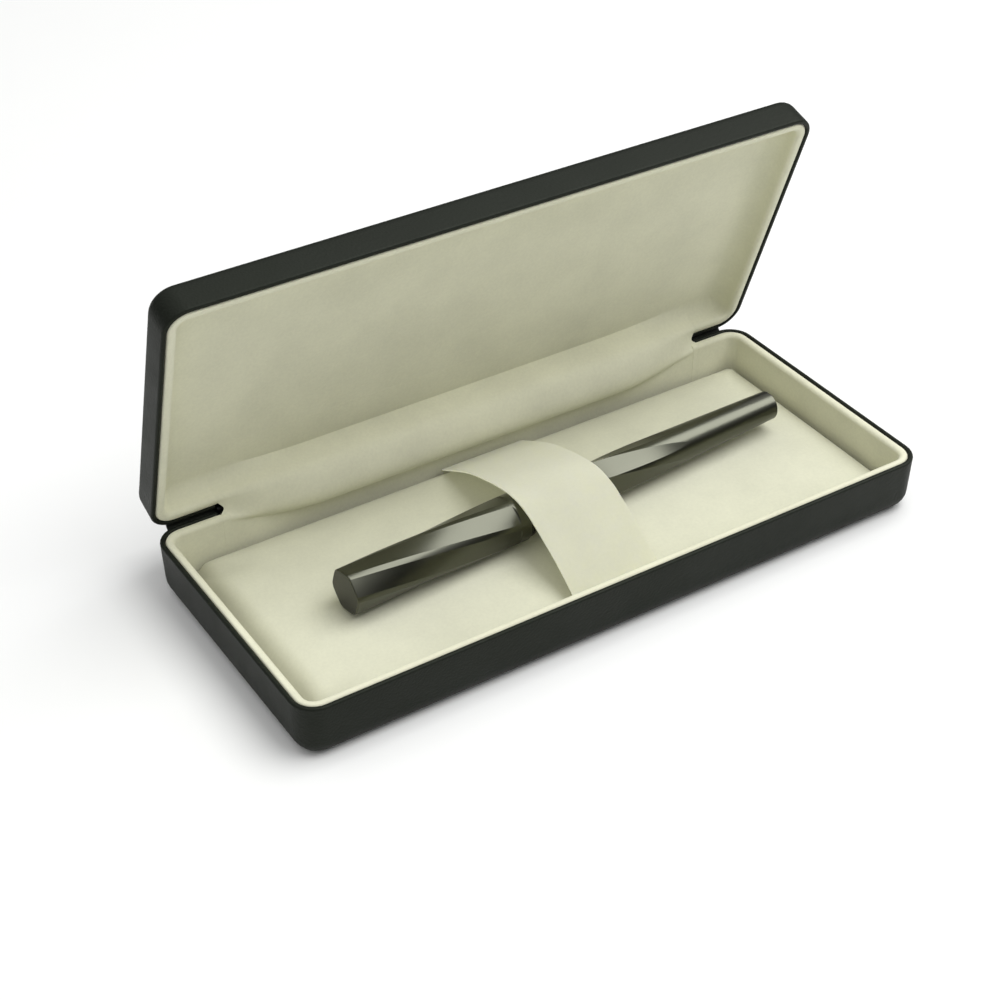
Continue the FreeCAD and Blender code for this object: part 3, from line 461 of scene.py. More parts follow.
COLOUR = "NodeSocketColor"
VALUE = "NodeSocketFloat"
VECTOR = "NodeSocketVector"
MOTTLE_LOW = 0.32       # noise below this is the dark colour
MOTTLE_HIGH = 0.68      # noise above this is the light colour
PATCH_SHARE = 0.65      # share of the patches in a mottle; the rest is flecks
FIBRE_SHARE = 0.6       # share of the fibres in a nap; the rest is slubs
NAP_ROUGHNESS = 0.8     # roughness of cloth between its fibres
NAP_SPREAD = 0.16       # how much rougher the tips of the fibres are
WARP_SCALE = 700.0      # noise that bends the pebbles of a grain
WARP_REACH = (0.0006, 0.0006, 0.0006)   # how far it bends them
PEBBLE_SMOOTHNESS = 0.5     # softness of the creases between pebbles
SCUFF_SPREAD = 0.22     # how much the roughness of a grain varies
SMEAR_SCALE = 140.0     # smears of worked metal
LINE_SHARE = 0.5        # share of the drawn lines in the roughness of worked metal
MIDDLE = 0.5            # mean of a noise


def add_node(tree, kind, inputs, **settings):
    """A node with its settings, and its inputs linked to outputs or set to values."""
    made = tree.nodes.new(kind)
    for setting, value in settings.items():
        setattr(made, setting, value)
    for socket, value in inputs.items():
        if isinstance(value, bpy.types.NodeSocket):
            tree.links.new(value, made.inputs[socket])
        else:
            made.inputs[socket].default_value = value
    return made


def math_node(tree, operation, first, second):
    """The result of a Math node on two outputs or numbers."""
    return add_node(tree, "ShaderNodeMath", {0: first, 1: second}, operation=operation).outputs[0]


def weighted(tree, first, share, second):
    """A share of one output and the rest of another."""
    part = math_node(tree, "MULTIPLY", first, share)
    return math_node(tree, "ADD", part, math_node(tree, "MULTIPLY", second, 1 - share))


def noise_node(tree, vector, scale, detail, roughness=0.5):
    """The value of a Noise texture on a vector."""
    inputs = {"Vector": vector, "Scale": scale, "Detail": detail, "Roughness": roughness}
    return add_node(tree, "ShaderNodeTexNoise", inputs).outputs["Fac"]


def node_group(name, inputs, outputs):
    """A shader group on a vector: its tree, its inputs and its two ends' sockets."""
    group = bpy.data.node_groups.new(name, "ShaderNodeTree")
    group.interface.new_socket(name="Vector", in_out="INPUT", socket_type=VECTOR)
    for socket, kind, default in inputs:
        made = group.interface.new_socket(name=socket, in_out="INPUT", socket_type=kind)
        made.default_value = default
    for socket, kind in outputs:
        group.interface.new_socket(name=socket, in_out="OUTPUT", socket_type=kind)
    start = group.nodes.new("NodeGroupInput")
    end = group.nodes.new("NodeGroupOutput")
    return group, start.outputs, end.inputs


def mottle_group():
    """Slow light and dark patches over a colour."""
    group, given, results = node_group(
        "Mottle",
        [
            ("Light", COLOUR, (0.8, 0.8, 0.8, 1.0)),
            ("Dark", COLOUR, (0.5, 0.5, 0.5, 1.0)),
            ("Patch Scale", VALUE, 60.0),
            ("Fleck Scale", VALUE, 900.0),
        ],
        [("Color", COLOUR)],
    )
    patch = noise_node(group, given["Vector"], given["Patch Scale"], detail=3.0)
    fleck = noise_node(group, given["Vector"], given["Fleck Scale"], detail=2.0)
    spread = add_node(group, "ShaderNodeMapRange", {
        "Value": weighted(group, patch, PATCH_SHARE, fleck),
        "From Min": MOTTLE_LOW,
        "From Max": MOTTLE_HIGH,
    })
    mix = add_node(group, "ShaderNodeMix", {
        "Factor": spread.outputs["Result"], "A": given["Dark"], "B": given["Light"],
    }, data_type="RGBA")
    group.links.new(mix.outputs["Result"], results["Color"])
    return group


def nap_group():
    """Height and roughness of a brushed cloth's short fibres, with faint slubs under them."""
    group, given, results = node_group(
        "Nap",
        [("Fibre Scale", VALUE, 2600.0), ("Slub Scale", VALUE, 320.0)],
        [("Height", VALUE), ("Roughness", VALUE)],
    )
    fibre = noise_node(group, given["Vector"], given["Fibre Scale"], detail=4.0, roughness=0.65)
    slub = noise_node(group, given["Vector"], given["Slub Scale"], detail=3.0)
    group.links.new(weighted(group, fibre, FIBRE_SHARE, slub), results["Height"])
    rough = math_node(group, "ADD", math_node(group, "MULTIPLY", fibre, NAP_SPREAD), NAP_ROUGHNESS)
    group.links.new(rough, results["Roughness"])
    return group


def grain_group():
    """Height and roughness of a pebbled skin."""
    group, given, results = node_group(
        "Grain",
        [
            ("Pebble Scale", VALUE, 1500.0),
            ("Scuff Scale", VALUE, 90.0),
            ("Roughness", VALUE, 0.45),
        ],
        [("Height", VALUE), ("Roughness", VALUE)],
    )
    bent = add_node(group, "ShaderNodeVectorMath", {
        0: noise_node(group, given["Vector"], WARP_SCALE, detail=2.0),
        1: WARP_REACH,
        2: given["Vector"],
    }, operation="MULTIPLY_ADD")
    pebble = add_node(group, "ShaderNodeTexVoronoi", {
        "Vector": bent.outputs[0],
        "Scale": given["Pebble Scale"],
        "Smoothness": PEBBLE_SMOOTHNESS,
    }, feature="SMOOTH_F1")
    height = math_node(group, "SUBTRACT", 1.0, pebble.outputs["Distance"])
    group.links.new(height, results["Height"])
    scuff = noise_node(group, given["Vector"], given["Scuff Scale"], detail=4.0)
    spread = math_node(group, "MULTIPLY", math_node(group, "SUBTRACT", scuff, MIDDLE), SCUFF_SPREAD)
    group.links.new(math_node(group, "ADD", given["Roughness"], spread), results["Roughness"])
    return group


def brush_group():
    """Height and roughness of the fine drawn lines of worked metal."""
    group, given, results = node_group(
        "Brushing",
        [
            ("Stretch", VECTOR, (120.0, 5200.0, 5200.0)),
            ("Roughness", VALUE, 0.3),
            ("Wear", VALUE, 0.12),
        ],
        [("Height", VALUE), ("Roughness", VALUE)],
    )
    drawn = add_node(group, "ShaderNodeVectorMath", {0: given["Vector"], 1: given["Stretch"]},
                     operation="MULTIPLY")
    lines = noise_node(group, drawn.outputs[0], 1.0, detail=4.0, roughness=0.6)
    group.links.new(lines, results["Height"])
    smear = noise_node(group, given["Vector"], SMEAR_SCALE, detail=3.0)
    worn = math_node(group, "SUBTRACT", weighted(group, lines, LINE_SHARE, smear), MIDDLE)
    spread = math_node(group, "MULTIPLY", worn, given["Wear"])
    group.links.new(math_node(group, "ADD", given["Roughness"], spread), results["Roughness"])
    return group


GROUP_MAKERS = {
    "Mottle": mottle_group, "Nap": nap_group, "Grain": grain_group, "Brushing": brush_group,
}


def place_group(material, name, values):
    """Puts a shader group into a material, on Object coordinates, with its own values."""
    tree = material.node_tree
    group = bpy.data.node_groups.get(name) or GROUP_MAKERS[name]()
    coordinates = tree.nodes.get("Texture Coordinate") or tree.nodes.new("ShaderNodeTexCoord")
    made = add_node(tree, "ShaderNodeGroup", {}, node_tree=group)
    tree.links.new(coordinates.outputs["Object"], made.inputs["Vector"])
    for socket, value in values.items():
        made.inputs[socket].default_value = value
    return made.outputs


def shade(tint, share):
    """A colour made darker or lighter, with alpha."""
    return (tint[0] * share, tint[1] * share, tint[2] * share, 1.0)


def mottled(name, tint, light, dark, patch, fleck, uniform):
    """A material of a mottled colour, and numbers that hold all over it."""
    material = bpy.data.materials.new(name)
    material.use_nodes = True
    shader = material.node_tree.nodes["Principled BSDF"]
    mottle = place_group(material, "Mottle", {
        "Light": shade(tint, light), "Dark": shade(tint, dark),
        "Patch Scale": patch, "Fleck Scale": fleck,
    })
    material.node_tree.links.new(mottle["Color"], shader.inputs["Base Color"])
    for socket, value in uniform.items():
        shader.inputs[socket].default_value = value
    return material, shader


def surface(name, tint, light, dark, patch, fleck, relief, values, depth, strength, uniform):
    """The material of that name: a mottled colour, with roughness and bump from a group."""
    found = bpy.data.materials.get(name)
    if found:
        return found
    material, shader = mottled(name, tint, light, dark, patch, fleck, uniform)
    tree = material.node_tree
    given = place_group(material, relief, values)
    tree.links.new(given["Roughness"], shader.inputs["Roughness"])
    bump = add_node(tree, "ShaderNodeBump", {
        "Height": given["Height"], "Distance": depth, "Strength": strength,
    })
    tree.links.new(bump.outputs["Normal"], shader.inputs["Normal"])
    return material


def cloth_material(name, tint, dark=0.9, sheen=0.25, fibre=2600.0, depth=0.00005):
    """Short-napped cloth."""
    return surface(
        name, tint, light=1.03, dark=dark, patch=70.0, fleck=1300.0,
        relief="Nap", values={"Fibre Scale": fibre}, depth=depth, strength=0.5,
        uniform={"Specular IOR Level": 0.2, "Sheen Weight": sheen, "Sheen Roughness": 0.5},
    )


def leather_material(tint):
    """Matt charcoal leatherette with a fine grain."""
    return surface(
        "grained_leatherette", tint, light=1.12, dark=0.85, patch=45.0, fleck=1500.0,
        relief="Grain", values={"Pebble Scale": 1700.0, "Roughness": 0.55},
        depth=0.0001, strength=0.6,
        uniform={"Specular IOR Level": 0.2, "Specular Tint": (0.93, 1.0, 0.85, 1.0)},
    )


def metal_material(name, tint, roughness, wear=0.12):
    """Worked metal with fine drawn lines; wear sets how plainly they show."""
    return surface(
        name, tint, light=1 + wear / 2, dark=1 - wear, patch=120.0, fleck=2200.0,
        relief="Brushing", values={"Roughness": roughness, "Wear": wear},
        depth=0.00006 * wear, strength=0.3, uniform={"Metallic": 1.0},
    )


def plain_material(name, tint, roughness, depth=0.00005, tooth=1500.0):
    """Card and moulded plastic, with a fine tooth."""
    return surface(
        name, tint, light=1.06, dark=0.86, patch=80.0, fleck=1600.0,
        relief="Grain", values={"Pebble Scale": tooth, "Roughness": roughness},
        depth=depth, strength=0.3, uniform={},
    )


def steel_material():
    """Drawn steel of the trays and the spring."""
    finish = bpy.context.scene.penbox_finish
    return metal_material("drawn_steel", finish.steel, roughness=0.32)


def trim_material():
    """Black metal of the pen's ring, also put on the cap's end face as painted shade for the shaded
    things it mirrors.
    """
    finish = bpy.context.scene.penbox_finish
    return metal_material("pen_black_trim", finish.trim, roughness=0.22)


# Trays


EDGE_STEPS = 8      # divisions of a tray's rounded edge
RIM_STEPS = 5       # divisions of a rim's rounding
WINDOW_SPARE = 0.0003   # how far the hinge's window reaches past the rim


def tray_profile(case, height, draft, edge):
    """Section of a covered tray from its closed face to its rim and back inside."""
    lean = math.tan(draft)
    foot = (height - edge) * lean + edge / math.cos(draft)
    rim = case.rim_round
    width = case.rim_width
    skin = case.cover_thickness
    outside = arc((foot, edge), edge, -QUARTER, draft - math.pi, EDGE_STEPS)
    wall_top = [(rim * lean, height - rim)]
    rim_line = arc((rim, height - rim), rim, math.pi, QUARTER, RIM_STEPS)
    rim_line += arc((width - rim, height - rim), rim, QUARTER, 0.0, RIM_STEPS)
    hem = width - case.hem_thickness
    hem_line = [
        (width, height - case.hem_depth),
        (hem, height - case.hem_depth),
        (hem, height - case.hem_thickness),
        (skin, height - case.hem_thickness),
    ]
    inside = arc((foot, edge), edge - skin, draft - math.pi, -QUARTER, EDGE_STEPS)
    return outside + wall_top + rim_line + hem_line + inside


def tray_piece(name, body, settings, height, draft, edge, place, swing=None):
    """A covered tray as a closed skin; place turns a height above its face into Z."""
    bm = bmesh.new()
    profile = [(inset, place(rise)) for inset, rise in tray_profile(settings, height, draft, edge)]
    sweep_round(bm, CASE_HALF, settings.corner_radius, profile, True, True)
    bmesh.ops.recalc_face_normals(bm, faces=bm.faces)
    piece = finished(name, bm, leather_material(settings.leather))
    low = Vector((
        -settings.window_half, CASE_HALF.y - settings.rim_width - WINDOW_SPARE,
        HINGE.z - settings.window_drop,
    ))
    high = Vector((
        settings.window_half, CASE_HALF.y + settings.rim_width, HINGE.z + settings.window_drop,
    ))
    window_cut(piece, low, high)
    if swing:
        piece.data.transform(swing)
    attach(piece, body)
    return piece


class CaseCovers(bpy.types.Operator):
    """Leatherette over the base and the lid, turned in over their rims"""

    bl_idname = "penbox.case_covers"
    bl_label = "Case covers"

    def execute(self, context):
        case = context.scene.penbox_case
        base = tray_piece(
            "base_leatherette", "base", case, CASE_HALF.z, case.base_draft, case.base_edge,
            lambda rise: rise,
        )
        lid_top = HINGE.z + case.rim_gap / 2 + case.lid_height
        lid = tray_piece(
            "lid_leatherette", "lid", case, case.lid_height, case.lid_draft, case.lid_edge,
            lambda rise: lid_top - rise, LID_OPEN,
        )
        for piece, node in ((base, "base_cover"), (lid, "lid_cover")):
            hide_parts(node)
        return {"FINISHED"}


LIP_STEPS = (5, 7)      # divisions of a lip's outer and inner rounding
PANEL_STEPS = 10        # divisions of the soft corner round the lid's panel


def lip_profile(lining, rim_width, wall, depth_end):
    """Section of a lining from its tuck over its lip and along the wall, as (inset, depth)."""
    start = rim_width + 2 * HIDDEN_GAP
    top = lining.lip_drop
    outer = lining.lip_outer
    inner = lining.lip_inner
    line = [(start, top + outer + lining.tuck)]
    line += arc((start + outer, top + outer), outer, math.pi, 1.5 * math.pi, LIP_STEPS[0])
    line += arc((wall - inner, top + inner), inner, 1.5 * math.pi, 2 * math.pi, LIP_STEPS[1])
    line.append((wall, depth_end))
    return line


class Linings(bpy.types.Operator):
    """Cream cloth over the card walls of the base and over the lid's walls and panel"""

    bl_idname = "penbox.linings"
    bl_label = "Linings"

    def execute(self, context):
        case = context.scene.penbox_case
        lining = context.scene.penbox_lining
        hinge = context.scene.penbox_hinge
        cloth = cloth_material("lining_cloth", lining.cloth)
        low_x = hinge.cloth_shift - hinge.opening_half
        high_x = hinge.cloth_shift + hinge.opening_half
        self.base(case, lining, cloth, low_x, high_x)
        self.lid(case, lining, cloth, low_x, high_x)
        return {"FINISHED"}

    def base(self, case, lining, cloth, low_x, high_x):
        foot = CASE_HALF.z - lining.floor
        profile = lip_profile(lining, case.rim_width, lining.base_wall, foot)
        profile.append((lining.base_wall + lining.turn_in, foot))
        profile = [(inset, CASE_HALF.z - depth) for inset, depth in profile]
        bm = bmesh.new()
        sweep_round(bm, CASE_HALF, case.corner_radius, profile)
        cut_out(bm, (low_x, 0.0), (high_x, CASE_HALF.y))
        thickened(bm, lining.cloth_thickness)
        piece = finished("base_lining_cloth", bm, cloth, "base")
        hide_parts("base_lining")

    def lid(self, case, lining, cloth, low_x, high_x):
        rim = HINGE.z + case.rim_gap / 2
        wall = lining.lid_wall
        soft = lining.panel_round
        turn = lining.lid_depth - soft
        profile = lip_profile(lining, case.rim_width, wall, turn)
        profile += arc((wall + soft, turn), soft, math.pi, QUARTER, PANEL_STEPS)[1:]
        profile = [(inset, rim + depth) for inset, depth in profile]
        bm = bmesh.new()
        sweep_round(bm, CASE_HALF, case.corner_radius, profile, fill_last=True)
        cut_out(bm, (low_x, CASE_HALF.y - wall - soft), (high_x, CASE_HALF.y))
        thickened(bm, lining.cloth_thickness)
        bmesh.ops.transform(bm, matrix=LID_OPEN, verts=bm.verts)
        piece = finished("lid_lining_cloth", bm, cloth, "lid")
        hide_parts("lid_lining")


# Hinge


BOW_STEPS = 40          # divisions of the hinge cloth's bow
SOFT_STEPS = 12         # divisions of the lid's soft corner at the cloth's ends
END_LIP_STEPS = 8       # divisions of each lip at the cloth's ends
VALLEY_STEPS = 10       # divisions of the dip between the lips
SECTION_STEPS = (5, 14, 44, 10)     # points along the hinge cloth's four stretches
NOTCH_ROWS = 7.0        # rows over which the rounding of a slot fades
CLOTH_COLUMNS = 120     # divisions of the hinge cloth along the case
SPRING_COLUMNS = 60     # divisions of the spring along the case
SPRING_STEPS = 40       # divisions of the spring's bow
SPINE_STEPS = 14        # divisions of the spine's round
HALF_FOLD = (math.pi - LID_ANGLE) / 2   # elevation of the line that halves the opening


def polar(radius, turn):
    """A point of the hinge's section about the hinge line."""
    return (radius * math.cos(turn), radius * math.sin(turn))


def lid_point(along, depth):
    """A point of the open lid's section, from the shut lid's distance and height."""
    return (
        along * math.cos(LID_ANGLE) + depth * math.sin(LID_ANGLE),
        depth * math.cos(LID_ANGLE) - along * math.sin(LID_ANGLE),
    )


def bow_section(case, lining, hinge):
    """The hinge cloth's section where the spring bows it out, in four stretches."""
    rise = lining.lid_depth + case.rim_gap / 2 - HIDDEN_GAP
    crease = lid_point(-hinge.crease_reach, rise)
    radius = hinge.bow_radius
    lift = math.atan2(crease[1], crease[0]) + math.acos(radius / math.hypot(*crease))
    low = math.pi + math.acos(hinge.wall / hinge.sag_radius)
    foot = hinge.tail_foot - HINGE.z
    bow = []
    for step in range(BOW_STEPS + 1):
        turn = lift + (low - lift) * step / BOW_STEPS
        sag = smoothstep((turn - hinge.sag_from) / (hinge.sag_to - hinge.sag_from))
        bow.append(polar(radius + (hinge.sag_radius - radius) * sag, turn))
    return [
        [lid_point(-hinge.overlap, rise), crease],
        [crease, bow[0]],
        bow,
        [bow[-1], (-hinge.wall, foot)],
    ]


def lip_section(case, lining, hinge):
    """The hinge cloth's section at its ends, where it follows the two lips."""
    rise = lining.lid_depth + case.rim_gap / 2
    setback = HINGE.y - CASE_HALF.y
    lid_wall = -(lining.lid_wall + setback)
    base_wall = -(lining.base_wall + setback)
    lip = lining.lip_inner
    soft = lining.panel_round
    lid_lip = case.rim_gap / 2 + lining.lip_drop
    base_lip = CASE_HALF.z - HINGE.z - lining.lip_drop
    proud = HIDDEN_GAP
    panel = [lid_point(-hinge.overlap, rise - proud), lid_point(lid_wall - soft, rise - proud)]
    corner = arc((lid_wall - soft, rise - soft), soft - proud, QUARTER, 0.0, SOFT_STEPS)
    corner.append((lid_wall - proud, lid_lip + lip))
    upper = arc((lid_wall + lip, lid_lip + lip), lip + proud, math.pi, 1.5 * math.pi, END_LIP_STEPS)
    upper = [lid_point(*point) for point in upper]
    lower = arc((base_wall + lip, base_lip - lip), lip + proud, QUARTER, math.pi, END_LIP_STEPS)
    dip = Vector(polar(hinge.valley, math.pi - LID_ANGLE / 2))
    valley = [
        Vector(upper[-1]).lerp(dip, share).lerp(dip.lerp(Vector(lower[0]), share), share)
        for share in (step / VALLEY_STEPS for step in range(1, VALLEY_STEPS))
    ]
    foot = hinge.tail_foot - HINGE.z
    return [
        panel,
        [lid_point(*point) for point in corner],
        upper + valley + lower,
        [lower[-1], (lower[-1][0], foot)],
    ]


def section_points(stretches):
    """One line of points through the four stretches of a hinge section."""
    made = []
    for stretch, count in zip(stretches, SECTION_STEPS):
        points = spaced(stretch, count + 1)
        made += points if not made else points[1:]
    return made


def bow_growth(hinge, x):
    """How far the bow has grown from the lips, from 0 at the cloth's ends to 1."""
    run = (hinge.cloth_half - abs(x - hinge.cloth_shift)) / hinge.end_run
    return math.sin(QUARTER * min(max(run, 0.0), 1.0))


def hinge_blend(piece):
    """Bakes a hinge piece's placement into its mesh; it is not bent between base and lid."""
    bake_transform(piece)


class HingePieces(bpy.types.Operator):
    """Cloth over the sprung hinge inside, the spring under it and the spine outside"""

    bl_idname = "penbox.hinge_pieces"
    bl_label = "Hinge pieces"

    def execute(self, context):
        scene = context.scene
        hinge = scene.penbox_hinge
        self.cloth(scene.penbox_case, scene.penbox_lining, hinge)
        self.spring(hinge)
        self.spine(scene.penbox_case, hinge)
        return {"FINISHED"}

    def cloth(self, case, lining, hinge):
        bow = section_points(bow_section(case, lining, hinge))
        lips = section_points(lip_section(case, lining, hinge))
        rows = len(bow) - 1
        valley_row = SECTION_STEPS[0] + SECTION_STEPS[1] + SECTION_STEPS[2] / 2
        bm = bmesh.new()
        bmesh.ops.create_grid(bm, x_segments=CLOTH_COLUMNS, y_segments=rows, size=1.0)
        for vert in bm.verts:
            share = vert.co.x
            row = round((vert.co.y + 1) / 2 * rows)
            notch = hinge.notch * math.exp(-((row - valley_row) / NOTCH_ROWS) ** 2)
            x = hinge.cloth_shift + share * (hinge.cloth_half - notch)
            point = lips[row].lerp(bow[row], bow_growth(hinge, x))
            vert.co = (x, HINGE.y + point.x, HINGE.z + point.y)
        bmesh.ops.reverse_faces(bm, faces=bm.faces)
        bmesh.ops.solidify(bm, geom=list(bm.faces), thickness=hinge.cloth_thickness)
        piece = finished("hinge_lining_cloth", bm, cloth_material("lining_cloth", lining.cloth))
        hinge_blend(piece)
        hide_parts("hinge_cloth")

    def spring(self, hinge):
        bm = bmesh.new()
        start = Matrix.Rotation(HALF_FOLD, 3, "X") @ Vector((0.0, hinge.spring_radius, 0.0))
        ends = [
            bm.verts.new(HINGE + start + Vector((side * hinge.spring_half, 0.0, 0.0)))
            for side in (-1, 1)
        ]
        edge = bm.edges.new(ends)
        bmesh.ops.subdivide_edges(bm, edges=[edge], cuts=SPRING_COLUMNS)
        bmesh.ops.spin(bm, geom=list(bm.edges) + list(bm.verts), cent=HINGE, axis=(1.0, 0.0, 0.0),
                       angle=math.pi, steps=SPRING_STEPS, use_merge=False)
        for vert in bm.verts:
            room = hinge.valley + (hinge.bow_radius - hinge.valley) * bow_growth(hinge, vert.co.x)
            room -= hinge.cloth_thickness + hinge.spring_room
            shrink = min(1.0, room / hinge.spring_radius)
            vert.co.yz = HINGE.yz + (vert.co.yz - HINGE.yz) * shrink
        thickened(bm, hinge.spring_thickness)
        piece = finished("hinge_bow_spring", bm, steel_material())
        hinge_blend(piece)
        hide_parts("hinge_spring")

    def spine(self, case, hinge):
        tail_turn = math.acos(hinge.spine_offset / hinge.spine_radius)
        turn = math.pi - LID_ANGLE - 2 * (QUARTER - tail_turn)
        lean = hinge.spine_tail * math.tan(case.base_draft)
        line = [(hinge.spine_offset - lean, -hinge.spine_tail)]
        line += arc((0.0, 0.0), hinge.spine_radius, -tail_turn, -tail_turn + turn, SPINE_STEPS)
        far = Matrix.Rotation(-LID_ANGLE, 2) @ Vector((hinge.spine_offset, hinge.spine_tail))
        line.append(tuple(far))
        bm = bmesh.new()
        verts = [
            bm.verts.new((-hinge.spine_half, HINGE.y + y, HINGE.z + z)) for y, z in line
        ]
        moved = extruded(bm, [bm.edges.new(pair) for pair in zip(verts, verts[1:])])[0]
        bmesh.ops.translate(bm, vec=(2 * hinge.spine_half, 0.0, 0.0), verts=list(moved))
        thickened(bm, hinge.spine_thickness)
        piece = finished("hinge_spine_strip", bm, leather_material(case.leather))
        hinge_blend(piece)
        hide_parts("hinge_spine")


# Insert and ribbon


PAD_STEPS = 13      # divisions of the insert from its edge to its middle
PAD_EDGE_STEPS = 8  # divisions of the insert's rounded edge
END_SHARE = 0.97    # most of the rolled end's quarter turn that is used
SWELL_SCALE = 5.0   # the cloth swells at the size of a seat cushion, at which it behaves
SWELL_FRAMES = 20   # frames that the swelling takes


def swell(piece, pad, half, floor, ceiling):
    """Swells a closed piece as stuffed cloth; its underside stays down."""
    scene = bpy.context.scene
    work = bpy.data.objects.new("swelling", piece.data.copy())
    scene.collection.objects.link(work)
    work.data.transform(Matrix.Scale(SWELL_SCALE, 4))
    cells = work.modifiers.new("cells", "REMESH")
    cells.mode = "VOXEL"
    cells.voxel_size = pad.voxel * SWELL_SCALE
    start = shown_mesh(work)
    work.modifiers.clear()
    work.data = start
    held = work.vertex_groups.new(name="held")
    low = (floor + pad.voxel / 2) * SWELL_SCALE
    held.add([vert.index for vert in start.vertices if vert.co.z < low], 1.0, "REPLACE")
    cloth = work.modifiers.new("cloth", "CLOTH")
    cloth.settings.use_pressure = True
    cloth.settings.uniform_pressure_force = pad.pressure
    cloth.settings.effector_weights.gravity = 0.0
    cloth.settings.vertex_group_mass = "held"
    cloth.point_cache.frame_end = SWELL_FRAMES
    for number in range(1, SWELL_FRAMES + 1):
        scene.frame_set(number)
    swollen = shown_mesh(work)
    for before, after in zip(start.vertices, swollen.vertices):
        move = after.co - before.co
        if move.length > pad.slack * SWELL_SCALE:
            move = move.normalized() * pad.slack * SWELL_SCALE
        after.co = before.co + move
    bpy.data.objects.remove(work)
    scene.frame_set(1)
    swollen.transform(Matrix.Scale(1 / SWELL_SCALE, 4))
    for vert in swollen.vertices:
        vert.co.z = min(vert.co.z, ceiling)
    reach = [max(abs(vert.co[axis]) for vert in swollen.vertices) for axis in (0, 1)]
    swollen.transform(Matrix.Diagonal((half.x / reach[0], half.y / reach[1], 1.0, 1.0)))
    # depth below the top, which sets how much painted shade the cloth takes
    deep = swollen.attributes.new("deep", "FLOAT", "POINT")
    depths = [(ceiling - vert.co.z) / (ceiling - floor) for vert in swollen.vertices]
    deep.data.foreach_set("value", depths)
    swollen.materials.clear()
    swollen.materials.append(piece.data.materials[0])
    swollen.shade_smooth()
    piece.data = swollen
    finer = piece.modifiers.new("finer", "SUBSURF")
    finer.levels = 1
    finer.render_levels = 1


def pad_material(pad):
    """The insert's cloth, with painted shade that darkens it towards its foot."""
    material = cloth_material("pad_cloth", pad.cloth, dark=0.92)
    tree = material.node_tree
    base = tree.nodes["Principled BSDF"].inputs["Base Color"]
    # Painted shade: the cloth is darkened by its depth below the top, for the shade in the crevices
    # round the insert
    deep = add_node(tree, "ShaderNodeAttribute", {}, attribute_name="deep")
    painted_shading = add_node(tree, "ShaderNodeMix", {
        "Factor": deep.outputs["Fac"], "A": base.links[0].from_socket, "B": (*pad.painted_shade, 1.0),
    }, data_type="RGBA", blend_type="MULTIPLY")
    tree.links.new(painted_shading.outputs["Result"], base)
    return material


class PaddedInsert(bpy.types.Operator):
    """Foam insert covered in cloth, on which the pen lies"""

    bl_idname = "penbox.padded_insert"
    bl_label = "Padded insert"

    def execute(self, context):
        pad = context.scene.penbox_pad
        low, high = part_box("pad_cloth")
        half = Vector((high.x, high.y, 0.0))
        top = high.z - pad.slack
        edge_top = top - pad.crown
        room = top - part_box("pad_board")[1].z - 2 * pad.slack
        bm = bmesh.new()
        profile = [(pad.edge_round / 2, low.z), (0.0, low.z + pad.edge_round / 2)]
        profile += arc((pad.edge_round, edge_top - pad.edge_round), pad.edge_round,
                       math.pi, QUARTER, PAD_EDGE_STEPS)
        depth = half.y - pad.edge_round
        for step in range(1, PAD_STEPS):
            share = step / PAD_STEPS
            profile.append((
                pad.edge_round + depth * share,
                edge_top + pad.crown * (1 - (1 - share) ** 2),
            ))
        sweep_round(bm, half, pad.corner_radius, profile, True, True)
        for step in range(PAD_STEPS):
            place = -pad.end_start - pad.end_round * step / PAD_STEPS
            cut_across(bm, (place, 0.0, 0.0), (1.0, 0.0, 0.0))
        for vert in bm.verts:
            past = min(max(-pad.end_start - vert.co.x, 0.0), pad.end_round * END_SHARE)
            drop = pad.end_round - math.sqrt(pad.end_round ** 2 - past ** 2)
            vert.co.z -= min(drop, room) * (vert.co.z - low.z) / (top - low.z)
        bmesh.ops.recalc_face_normals(bm, faces=bm.faces)
        piece = finished("pad", bm, pad_material(pad), "base")
        swell(piece, pad, half, low.z, high.z)
        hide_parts("pad_cloth", "pad_foam")
        return {"FINISHED"}


RIBBON_LINE = (
    (1.0, 0.0), (0.60, 0.53), (0.30, 0.80), (0.12, 0.925), (0.0, 0.985), (-0.12, 1.0),
    (-0.23, 0.96), (-0.33, 0.885), (-0.66, 0.51), (-1.0, 0.0),
)   # arch of the ribbon's underside, as shares of its reach and rise
CURVE_STEPS = 12    # divisions of the curve between two of those points
ARCH_POINTS = 65    # points along the arch
TUCK_POINTS = 5     # points along each tuck
RIBBON_COLUMNS = 16     # divisions of the ribbon across its width
SCATTER = (1.0, 1.0, 0.7)   # how far red, green and blue light spread in the ribbon


def smooth_line(points, count):
    """A smooth line through points of a section, evenly spaced."""
    points = [Vector(point) for point in points]
    padded = [2 * points[0] - points[1], *points, 2 * points[-1] - points[-2]]
    line = []
    for before, near, far, after in zip(padded, padded[1:], padded[2:], padded[3:]):
        for step in range(CURVE_STEPS):
            t = step / CURVE_STEPS
            line.append(0.5 * (
                2 * near + (far - before) * t
                + (2 * before - 5 * near + 4 * far - after) * t * t
                + (3 * near - before - 3 * far + after) * t * t * t
            ))
    line.append(points[-1])
    return spaced(line, count)


